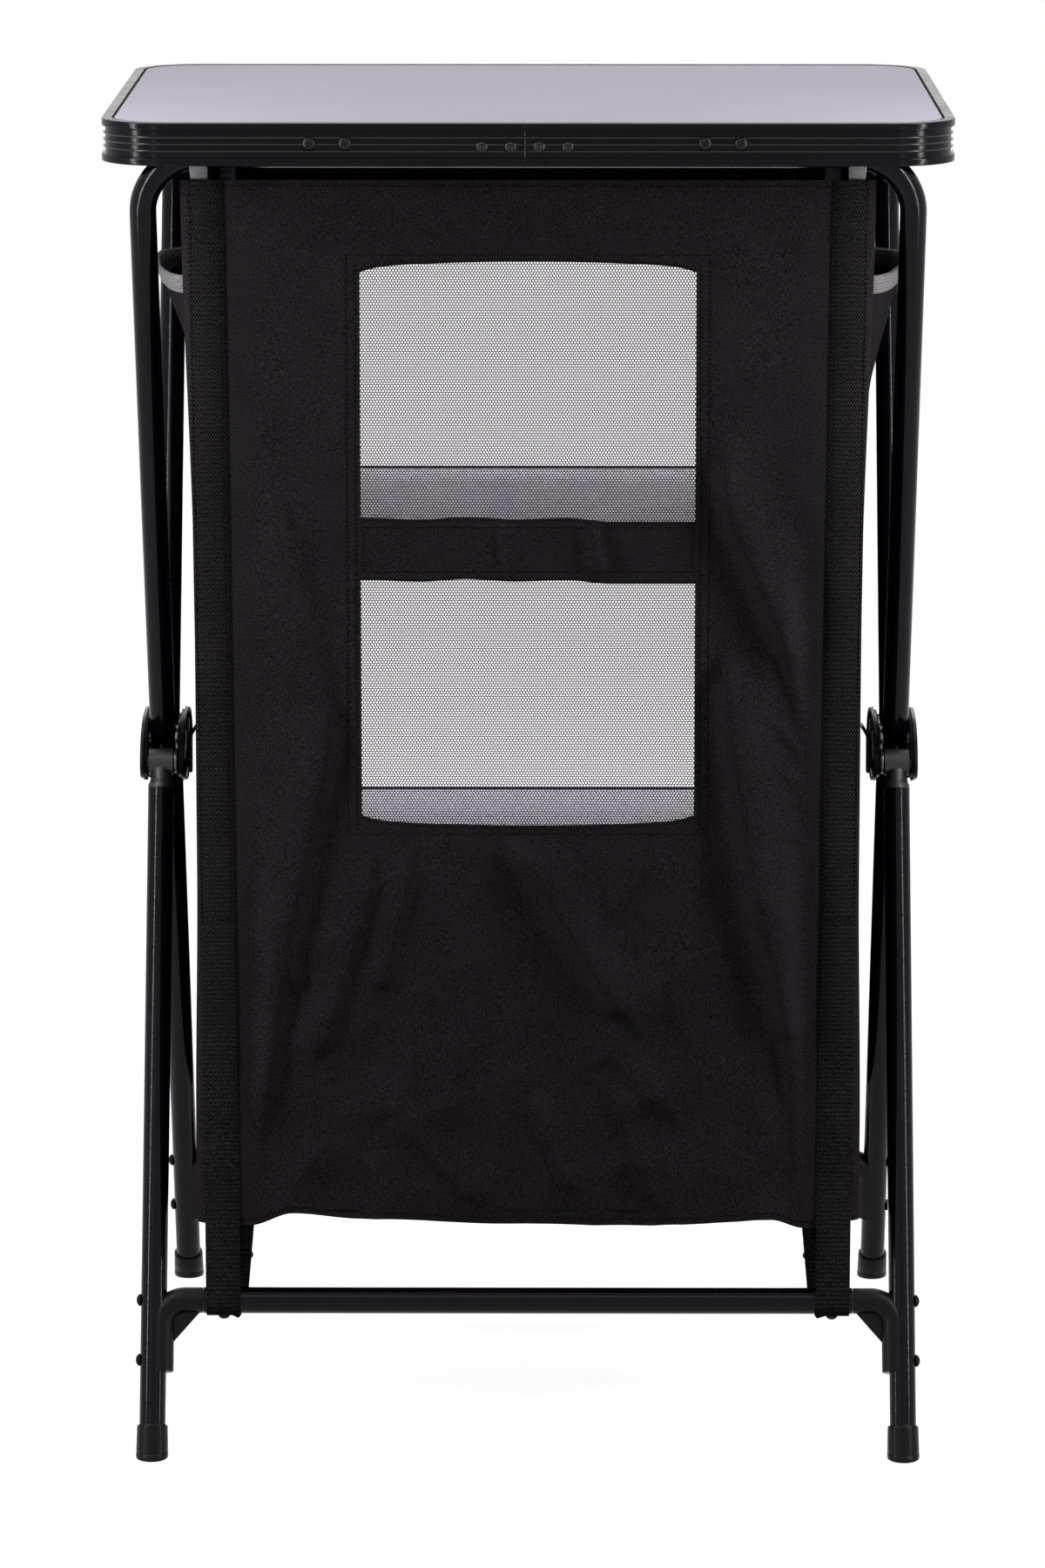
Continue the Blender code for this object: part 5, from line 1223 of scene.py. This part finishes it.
def net_tree():
    tree, given = geometry_tree("net", (
        ("Geometry", "Geometry"), ("Cell", "Object"), ("Pitch", "Float"), ("Width", "Float"),
        ("Height", "Float"), ("Middle", "Vector"), ("Look", "Material")))
    pitch = given["Pitch"]
    row_pitch = compute(tree, "MULTIPLY", pitch, math.sqrt(3) / 2)
    inputs = {}
    for title, size, step in (("X", "Width", pitch), ("Y", "Height", row_pitch)):
        count = compute(tree, "ROUND", compute(tree, "DIVIDE", given[size], step))
        inputs["Size " + title] = compute(tree, "MULTIPLY", count, step)
        inputs["Vertices " + title] = compute(tree, "ADD", count, 1)
    grid = add_node(tree, "GeometryNodeMeshGrid", inputs)
    place = add_node(tree, "GeometryNodeInputPosition").outputs[0]
    height = add_node(tree, "ShaderNodeSeparateXYZ", {0: place}).outputs["Y"]
    row = compute(tree, "ADD", compute(tree, "DIVIDE", height, row_pitch), EVEN_ROWS)
    odd = compute(tree, "MODULO", compute(tree, "ROUND", row), 2.0)
    sideways = compute(tree, "MULTIPLY", compute(tree, "SUBTRACT", odd, 0.5),
                       compute(tree, "MULTIPLY", pitch, 0.5))
    shift = add_node(tree, "ShaderNodeCombineXYZ", {"X": sideways}).outputs[0]
    staggered = add_node(tree, "GeometryNodeSetPosition",
                         {"Geometry": grid.outputs["Mesh"], "Offset": shift}).outputs[0]
    copies_on_points(tree, staggered, given["Cell"], given["Look"], pitch,
                     move={"Rotation": (math.radians(90), 0, 0), "Translation": given["Middle"]})
    return tree


def net_cell():
    """One cell of width 1: a six-sided ring that tiles without gaps."""
    bm = bmesh.new()
    spots = [(math.cos(math.radians(a)), math.sin(math.radians(a)), 0)
             for a in range(30, 390, 60)]
    pairs = [[bm.verts.new(Vector(spot) * share / math.sqrt(3)) for share in (1, NET_HOLE_SHARE)]
             for spot in spots]
    for (a, b), (c, d) in zip(pairs, pairs[1:] + pairs[:1]):
        bm.faces.new((a, c, d, b))
    return small_part("net_cell", bm)


NET_TREE, NET_CELL = net_tree(), net_cell()
for title, (low, high) in (("upper", UPPER_WINDOW), ("lower", LOWER_WINDOW)):
    wide, tall = 2 * (WINDOW_HALF + NET_OVERLAP), high - low + 2 * NET_OVERLAP
    net = run_tree(title + "_window_net", bpy.data.meshes.new(title + "_net_start"), NET_TREE, {
        "Cell": NET_CELL, "Pitch": NET_PITCH, "Width": wide, "Height": tall, "Look": NET,
        "Middle": (0, -BACK_Y + FABRIC + GAP + NET_BEHIND, (low + high) / 2)})
    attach(net, "hub")
    squash_cloth(net)
    print(net.name, len(net.data.polygons), "faces")
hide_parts("window_mesh")

# %% [markdown]
# The side panels wrap round the back corners to the seams, and end in front at the door
# opening. They have small creases of their own, and their lower edge waves a little.


# %% Side panels
def side_crease(y, z):
    room = smooth((0.185 - abs(y)) / 0.04)
    soft = noise.fractal(Vector((y * 8, 9.3, z * 5)), 0.9, 2.1, 4) * 0.0022
    pull = 0.0016 * math.sin(22 * z + 9 * y) * smooth((0.5 - z) / 0.3)
    return (soft + pull) * room


def side_path(z, side, off):
    """Points round a side panel at a height, moved outwards by a distance."""
    half, back, radius = half_width(z), plain_back(z), CORNER + off
    points = [(half - SEAM_INSET + GAP / 2, back - off)]
    points += [(half - CORNER + radius * math.sin(math.radians(a)),
                back + CORNER - radius * math.cos(math.radians(a))) for a in range(0, 91, 10)]
    points += [(half + off + side_crease(y, z), y)
               for y in spread(back + CORNER, FRONT_Y, 60)[1:]]
    wave = 0.0022 * smooth(1 - (z - HEM) / EDGE_REACH)
    return [Vector((side * x, y, z + wave * math.sin(26 * y + side))) for x, y in points]


for side in (-1, 1):
    heights = spread(HEM, LEAN_Z, 110) + spread(LEAN_Z, CLOTH_TOP, 12)[1:]
    name = "side_panel_" + SIDE_NAME[side]
    panel = cloth_piece(name + "_look", *([side_path(z, side, off) for z in heights]
                                          for off in (0.0, -FABRIC)), CLOTH, [name])
print("side panels", len(panel.data.polygons), "faces each")

# %% [markdown]
# In front a header closes the box's top, and narrow edging runs down both sides of the
# opening. Both are flat grids as wide as the sides are there.

# %% Front header and edging
HEADER_Y, HEADER_LOW, OPENING_HALF = FRONT_Y + GAP, 0.830, 0.205


def front_grids(heights, across):
    """Outer and inner grid of a flat sheet in front; across(z) gives its x values."""
    return [[[Vector((x, HEADER_Y + depth, z)) for x in across(z)] for z in heights]
            for depth in (FABRIC, 0)]


header = cloth_piece("header_cloth", *front_grids(
    spread(HEADER_LOW, CLOTH_TOP, 16), lambda z: spread(-half_width(z), half_width(z), 40)),
    CLOTH, ["front_header"])
for side in (-1, 1):
    edging = cloth_piece("front_edging_" + SIDE_NAME[side], *front_grids(
        spread(HEM + 0.002, HEADER_LOW - GAP, 60),
        lambda z: [side * x for x in spread(OPENING_HALF, half_width(z), 6)]), CLOTH)
print("header and edging", len(header.data.polygons), len(edging.data.polygons), "faces")

# %% [markdown]
# The door is rolled up below the header: one sheet in an open spiral, slightly dented and
# held by two ties that hug it. The section runs in along the spiral's outer side and back
# out along its inner side, so that the sheet has its real thickness all the way.

# %% Rolled door and its ties
TURNS, TURN_STEPS, START_ANGLE, TURN_PITCH = 4.25, 40, math.radians(95), 0.0046
DOOR_THICK, TIE_THICK, TIE_HALF, TIE_X = 0.0016, 0.0012, 0.0100, 0.120
ROLL_R, ROLL_HALF = 0.0275, 0.212
ROLL_Y = HEADER_Y + FABRIC + GAP + TIE_THICK + ROLL_R - 0.0006
ROLL_Z = 0.815 + ROLL_R
spiral = [(ROLL_R - DOOR_THICK / 2 - TURN_PITCH * i / TURN_STEPS,
           2 * math.pi * i / TURN_STEPS + START_ANGLE) for i in range(int(TURNS * TURN_STEPS) + 1)]


def roll_section(x):
    """The spiral's outer side outwards in, then its inner side back out, with dents."""
    sway = 0.0003 * math.sin(31 * x) + 0.0002 * math.sin(67 * x + 2)
    section = []
    for part, shift in ((spiral, DOOR_THICK / 2), (spiral[::-1], -DOOR_THICK / 2)):
        for radius, angle in part:
            v, w = math.cos(angle), math.sin(angle)
            dent = noise.noise(Vector((x * 12, v, w))) * 0.0005
            reach = radius + shift - 0.0008 - abs(sway) + dent
            section.append(Vector((x, ROLL_Y + reach * v, ROLL_Z + reach * w)))
    return section


roll = skin_piece("rolled_door_look", [roll_section(x) for x in spread(-ROLL_HALF, ROLL_HALF, 48)],
                  LINING, "hub", ["rolled_door"], "fabric_black", 60)
squash_cloth(roll)

bm = bmesh.new()
for x in (-TIE_X, TIE_X):
    middle, rings = Vector((x, ROLL_Y, ROLL_Z)), []
    for share, angle in ((i / 72, 2 * math.pi * i / 72 + START_ANGLE) for i in range(72)):
        hug = ROLL_R + GAP - TURN_PITCH * share * (1 - smooth((share - 0.86) / 0.14))
        way = Vector((0, math.cos(angle), math.sin(angle)))
        half = [(TIE_HALF, 0), (TIE_HALF, 0.0009), (TIE_HALF - 0.0003, TIE_THICK)]
        rings.append([middle + X_WAY * u + way * (hug + w)
                      for u, w in [(-u, w) for u, w in half] + half[::-1]])
    skin(bm, rings, closed=True)
ties = finish_piece("door_ties", bm, WEBBING, "hub", slot="webbing_black", sharp=50)
squash_cloth(ties)
print("rolled door", len(roll.data.polygons), "faces")

# %% [markdown]
# Two stiff boards are the shelves, each with a dark strip on top along its front edge. The
# box's floor is cloth. All three have the box's rounded corners at the back.


# %% Shelves and the box's floor
def tray(name, node, look, body, slot):
    """A flat panel that fills a node's box, with rounded back corners."""
    low, high = low_high(node)
    right = arc(high.x - CORNER, low.y + CORNER, CORNER, -90, 0, 12)
    right += arc(high.x - 0.003, high.y - 0.003, 0.003, 0, 90, 5)
    outline = right + [(-x, y) for x, y in reversed(right)]
    return skin_piece(name, [[Vector((x, y, z)) for x, y in outline] for z in (low.z, high.z)],
                      look, body, [node], slot)


STRIP = [(-0.0022, 0.0001), (-0.0022, 0.0012), (-0.0018, 0.0016), (-0.0004, 0.0016),
         (0, 0.0012), (0, 0.0001)]
for name in ("shelf_upper", "shelf_lower"):
    soften(tray(name + "_look", name, SHELF, name, "shelf_grey"), 0.0005)
    high = low_high(name)[1]
    end = high.x - 0.004
    skin_piece(name + "_edge", [[Vector((x, high.y - 0.0006 + u, high.z + w)) for u, w in STRIP]
                                for x in (-end, end)], PLASTIC, name, slot="black_plastic")
floor_panel = tray("floor_panel", "cabinet_floor", LINING, "hub", "fabric_black")
squash_cloth(floor_panel)
print("box done")

# %% [markdown]
# Webbing runs down the cloth in four lines. Each is sewn on to the lower shelf's height,
# then hangs free, goes under the crossbar and comes back up as a narrow strap. Sewn and
# free parts are pieces of their own.


# %% Webbing helpers
WEB_HALF, WEB_THICK, WEB_FREE = 0.0125, 0.0012, 0.384
WEB_OFF, LEAVE_Z = GAP + WEB_THICK / 2, HEM + 0.010
WEB_OUT_X, WEB_IN_X = 0.227, 0.220


def strap(bm, spots):
    """A flat band along (x, y, z, half width, thickness) spots, with rounded edges."""
    places = [Vector(spot[:3]) for spot in spots]
    rings = []
    for i, (_, _, _, half, thick) in enumerate(spots):
        tangent = (places[min(i + 1, len(places) - 1)] - places[max(i - 1, 0)]).normalized()
        wide = (X_WAY - tangent * tangent.x).normalized()
        normal = wide.cross(tangent)
        t, e = thick / 2, thick * 0.35
        lower_side = [(-half, -t + e), (-half + e, -t), (0, -t * 1.04), (half - e, -t),
                      (half, -t + e)]
        section = lower_side + [(-u, -v) for u, v in lower_side]
        rings.append([places[i] + wide * u + normal * v for u, v in section])
    skin(bm, rings)


def path_length(spots):
    return sum((Vector(a[:3]) - Vector(b[:3])).length for a, b in zip(spots, spots[1:]))


def touch_angle(u, v, bar_u, bar_v, radius, way):
    """Angle at which a line from a point touches a circle, on one side or the other."""
    away = Vector((u - bar_u, v - bar_v))
    return math.degrees(math.atan2(away.y, away.x)
                        + way * math.acos(min(1, radius / away.length)))


def webbing_x(z):
    share = (CLOTH_TOP - z) / (CLOTH_TOP - CROSSBAR_Z)
    return WEB_OUT_X + (WEB_IN_X - WEB_OUT_X) * min(max(share, 0), 1)


def face_y(line, z):
    """Y of the cloth's outer face where the webbing lies."""
    return back_y(0.23, z) if line == BACK else FRONT_Y + GAP + FABRIC


print("webbing", 2 * WEB_HALF, "wide")

# %% [markdown]
# Each line of webbing is one path: straight down the cloth, round the crossbar from where
# it first touches the tube, and up again behind as a tail that narrows. The free part
# starts thin behind the sewn one, so the two never share a surface.

# %% Webbing
TAIL_IN, TAIL_NARROW, TAIL_TOP = 0.0118, 0.0073, 0.1714


def sewn_spots(line, side):
    return [(side * webbing_x(z), face_y(line, z) + line * WEB_OFF, z, WEB_HALF, WEB_THICK)
            for z in spread(CLOTH_TOP, WEB_FREE, 60)]


def free_spots(line, side):
    """Down from behind the sewn end, round the crossbar, and up as a narrow tail."""
    y = face_y(line, WEB_FREE) + line * WEB_OFF
    spots = [(side * webbing_x(z), y, z, WEB_HALF - 0.0006, 0.0005)
             for z in (WEB_FREE + 0.045, WEB_FREE + 0.02, WEB_FREE + 0.001)]
    for z in spread(WEB_FREE, LEAVE_Z, 30):
        sway = smooth((WEB_FREE - z) / 0.05) * smooth((z - LEAVE_Z) / 0.05)
        spots.append((side * webbing_x(z), y + line * 0.0003 * math.sin(21 * z) * sway, z,
                      WEB_HALF, WEB_THICK))
    round_bar = (CROSSBAR_Y, CROSSBAR_Z, TUBE_R + WEB_OFF)
    touch = touch_angle(abs(y), LEAVE_Z, *round_bar, -1)
    spots += [(side * webbing_x(z), line * y, z, WEB_HALF, WEB_THICK)
              for y, z in arc(*round_bar, touch, -90, 14)]
    turned = arc(*round_bar, -90, -180, 14)[1:]
    for i, (y, z) in enumerate(turned, 1):
        share = smooth(i / len(turned))
        spots.append((side * (WEB_IN_X - TAIL_IN * share), line * y, z,
                      WEB_HALF - TAIL_NARROW * share, WEB_THICK))
    start_y, start_z = turned[-1]
    end_y = BACK_Y - FABRIC - WEB_OFF - 0.004
    for z in spread(start_z, TAIL_TOP, 8)[1:]:
        share = (z - start_z) / (TAIL_TOP - start_z)
        spots.append((side * (WEB_IN_X - TAIL_IN - 0.0032 * share),
                      line * (start_y + (end_y - start_y) * share), z,
                      WEB_HALF - TAIL_NARROW + 0.0028 * share, WEB_THICK))
    return spots


for line in (BACK, FRONT):
    for side in (-1, 1):
        end = ending(line, side)
        sewn, free = sewn_spots(line, side), free_spots(line, side)
        bm = bmesh.new()
        strap(bm, sewn)
        piece = finish_piece("webbing_sewn" + end, bm, WEBBING, "hub",
                             slot="webbing_black", sharp=50)
        squash_cloth(piece)
        bm = bmesh.new()
        strap(bm, free)
        piece = finish_piece("webbing_free" + end, bm, WEBBING, "hub", ["webbing" + end],
                             "webbing_black", 50)
        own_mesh(piece)
    under_bar = CROSSBAR_Z - TUBE_R - GAP - WEB_THICK
    repeat_part("strap_screws_" + LINE_NAME[line], DOME, [
        (Vector((side * WEB_IN_X, line * CROSSBAR_Y, under_bar)), -Z_WAY, X_WAY)
        for side in (-1, 1)], DARK_STEEL, "lower_" + LINE_NAME[line], 0.95)
    studs = repeat_part("strap_studs_" + LINE_NAME[line], DOME, [
        (Vector((side * 0.2003, line * 0.1994, 0.137)), -side * X_WAY, Z_WAY)
        for side in (-1, 1)], DARK_STEEL, "hub", 0.5)
    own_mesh(studs)
print("webbing lengths", round(path_length(sewn), 3), round(path_length(free), 3))

# %% [markdown]
# Stitches are single threads of their own, set along lines on the cloth by the same tree as
# the rivets. One line goes round both windows together and one round the band between
# them. Others follow the windows' edges, the hem and the top edge.

# %% Stitches on the cloth
# The threads' extra darkness is painted shade for the stitch holes; no grooves are cut in the
# cloth.
STITCH_PITCH = 0.0031
STITCHED_FRAMES = ((0.128, 0.4500, 0.8645), (0.1165, 0.6392, 0.6712))  # half width, low, high
SIDE_ROW_X, EDGE_ROW_HALF, HEM_ROW_HALF = 0.1218, 0.1195, 0.212


def line_points(start, end, step=0.004):
    (x0, z0), (x1, z1) = start, end
    count = max(1, int(math.hypot(x1 - x0, z1 - z0) / step))
    return [(x0 + (x1 - x0) * i / count, z0 + (z1 - z0) * i / count) for i in range(count + 1)]


def seam(points, place, out):
    """Stitch spots at an even pitch along a line, laid on a surface by place(x, z)."""
    laid, spots, next_at = [place(x, z) for x, z in points], [], 0.0
    for a, b in zip(laid, laid[1:]):
        run = b - a
        while next_at < run.length:
            spots.append((a + run.normalized() * next_at, out, run.normalized()))
            next_at += STITCH_PITCH
        next_at -= run.length
    return spots


lines = []
for half, low, high in STITCHED_FRAMES:
    corners = [(-half, low), (half, low), (half, high), (-half, high)]
    lines += [line_points(*ends) for ends in zip(corners, corners[1:] + corners[:1])]
lines += [line_points((x, LOWER_WINDOW[0] - 0.002), (x, UPPER_WINDOW[1]))
          for x in (-SIDE_ROW_X, SIDE_ROW_X)]
for z, way in ((UPPER_WINDOW[1] + 0.0014, -1), (LOWER_WINDOW[0] - 0.0016, 1),
               (UPPER_WINDOW[0] - 0.0014, 0), (LOWER_WINDOW[1] + 0.0014, 0)):
    lines.append([(x, z + way * window_drop(x) + band_shift(x, z))
                  for x in spread(-EDGE_ROW_HALF, EDGE_ROW_HALF, 60)])
lines.append([(x, HEM + 0.0048 + hem_shift(x))
              for x in spread(-HEM_ROW_HALF, HEM_ROW_HALF, 100)])
lines.append(line_points((-HEM_ROW_HALF, CLOTH_TOP - 0.0042), (HEM_ROW_HALF, CLOTH_TOP - 0.0042)))
seams = [spot for points in lines
         for spot in seam(points, lambda x, z: Vector((x, back_y(x, z) - 0.0001, z)), -Y_WAY)]
cloth_stitches = repeat_part("cloth_stitches", STITCH, seams, THREAD_AND_PAINTED_SHADE, "hub")
squash_cloth(cloth_stitches)
print("stitches on the cloth", len(seams))

# %% [markdown]
# Two rows run down each line of webbing, close to its edges, and two short rows cross it
# where the sewn part ends. They lie on the webbing's face.

# %% Stitches on the webbing
seams = []
for line in (BACK, FRONT):
    def on_webbing(x, z):
        return Vector((x, face_y(line, z) + line * (WEB_OFF + WEB_THICK / 2), z))

    for side in (-1, 1):
        for edge in (-1, 1):
            edge_x = edge * (WEB_HALF - 0.0018)
            seams += seam([(side * webbing_x(z) + edge_x, z)
                           for z in spread(WEB_FREE + 0.002, CLOTH_TOP - 0.002, 120)],
                          on_webbing, line * Y_WAY)
        middle = side * webbing_x(WEB_FREE)
        for z in (WEB_FREE + 0.0018, WEB_FREE + 0.0046):
            seams += seam([(middle - 0.0105, z), (middle + 0.0105, z)], on_webbing, line * Y_WAY)
webbing_stitches = repeat_part("webbing_stitches", STITCH, seams, THREAD_AND_PAINTED_SHADE, "hub")
squash_cloth(webbing_stitches)
print("stitches on the webbing", len(seams))

# %% [markdown]
# The box hangs from the bars by loops of pale tape. Each loop goes over its bar and down
# inside the cloth, where a long tape along the top edge ties the two loops together.

# %% Hanger loops
LOOP_X, LOOP_HALF, LOOP_LOW = 0.2305, 0.006, 0.858
OVER = TUBE_R + 0.0017 + WEB_THICK / 2


def inside_leg(line, depth, heights):
    off = FABRIC + GAP + WEB_THICK / 2 + depth
    return [(abs(face_y(line, min(z, CLOTH_TOP))) - off, z) for z in heights]


for line in (BACK, FRONT):
    heights = spread(CLOTH_TOP + 2 * GAP, LEAN_Z, 12) + [LOOP_LOW]
    near, far = inside_leg(line, WEB_THICK + GAP, heights), inside_leg(line, 0, heights)
    start = touch_angle(*near[0], BAR_Y, BAR_Z, OVER, -1) % 360
    end = touch_angle(*far[0], BAR_Y, BAR_Z, OVER, 1)
    path = near[::-1] + arc(BAR_Y, BAR_Z, OVER, start, end, 30) + far
    bm = bmesh.new()
    for side in (-1, 1):
        strap(bm, [(side * LOOP_X, line * y, z, LOOP_HALF, WEB_THICK) for y, z in path])
    tape = inside_leg(line, 0, spread(CLOTH_TOP - GAP, LEAN_Z + 0.016, 8))
    strap(bm, [(0, line * y, z, LOOP_X, 0.0008) for y, z in tape])
    name = "hanger_loops_" + LINE_NAME[line]
    loops = finish_piece(name + "_look", bm, GREY_TAPE, "hub", [name], "binding_grey", 50)
    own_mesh(loops)
print("loops lie on the bars from", round(start), "to", round(end), "degrees")

# %% [markdown]
# A pocket hangs on each side. Its cloth bulges outwards from a tapered bottom, and a pale
# woven band is folded over its mouth, which sinks a little towards the front. One function
# places a point on the pocket at any height and distance from its cloth, so the band is
# the same surface again, a little further out and in.

# %% Side pockets
POCKET_TOP = low_high("pocket_right")[1].z
POCKET_LOW = {side: low_high("pocket_" + SIDE_NAME[side])[0].z for side in (-1, 1)}
TOP_REACH, LOW_REACH = low_high("pocket_right")[1].y, 0.085
BULGE, MOUTH_DROP, BAND_HIGH = 0.0285, 0.009, 0.0135
ACROSS = spread(-1, 1, 60)


def pocket_point(side, u, z, off):
    low = POCKET_LOW[side]
    share = (z - low) / (POCKET_TOP - low)
    reach = LOW_REACH + (TOP_REACH - LOW_REACH) * share
    crown = max(1 - u * u, 0) ** 0.6
    bulge = BULGE * smooth(share * 0.5) * 2 * crown
    pleat = 0.0009 * math.sin(17 * u + 3 * side) * crown * (1 - share * 0.6)
    sag = noise.noise(Vector((u * 3, z * 22, side))) * 0.0013 * crown
    x = half_width(z) + GAP + bulge + (pleat + sag) * smooth(share * 4) - 0.0003 + off
    x = max(x, half_width(z) + GAP + min(off, 0.0002))
    sunk = MOUTH_DROP * smooth(u) * smooth((share - 0.5) * 2)
    return Vector((side * x, u * reach, z - sunk))


def pocket_grid(side, path):
    return [[pocket_point(side, u, z, off) for u in ACROSS] for z, off in path]


def band_paths(tall, thick):
    """Outer and inner side of a band folded over a mouth: up outside, over, down inside."""
    out, top, low = FABRIC + GAP, POCKET_TOP, POCKET_TOP - tall
    middle, edge = low + tall / 2, top - thick
    inner_path = [(low, out), (middle, out), (edge - GAP, out), (edge - GAP / 2, out / 2),
                  (edge - GAP, -GAP), (middle, -GAP), (low, -GAP)]
    outer_path = [(low, out + thick), (middle, out + thick), (edge, out + thick),
                  (top, out / 2), (edge, -GAP - thick), (middle, -GAP - thick),
                  (low, -GAP - thick)]
    return outer_path, inner_path


for side in (-1, 1):
    name, tall = "pocket_" + SIDE_NAME[side], POCKET_TOP - POCKET_LOW[side]
    heights = spread(POCKET_LOW[side], POCKET_TOP - WEB_THICK - 2 * GAP, 44)
    pocket = cloth_piece(name + "_look", *(pocket_grid(side, [(z, off) for z in heights])
                                           for off in (FABRIC, 0)), CLOTH, [name], keep=0.1)
    band = "pocket_binding_" + SIDE_NAME[side]
    binding = cloth_piece(band + "_look", *(pocket_grid(side, path)
                                            for path in band_paths(BAND_HIGH, WEB_THICK)),
                          GREY_TAPE, [band], "binding_grey", 0.1)
print("pockets", len(pocket.data.polygons), "bindings", len(binding.data.polygons), "faces")

# %% [markdown]
# The board is a flat slab in the model and on the real object, so it needs no new shape. It
# is the model's own solid, and only gets its worktop finish.

# %% Tabletop board
board = frame["nodes"]["tabletop_board"]
board.data.materials.clear()
board.data.materials.append(LAMINATE)
print("board", [round(2 * size, 3) for size in low_high("tabletop_board")[1].xy])

# %% [markdown]
# Everything has its place, so the small parts that only served as patterns go.

# %% Remove the pattern parts
for part in small_parts:
    bpy.data.objects.remove(part)
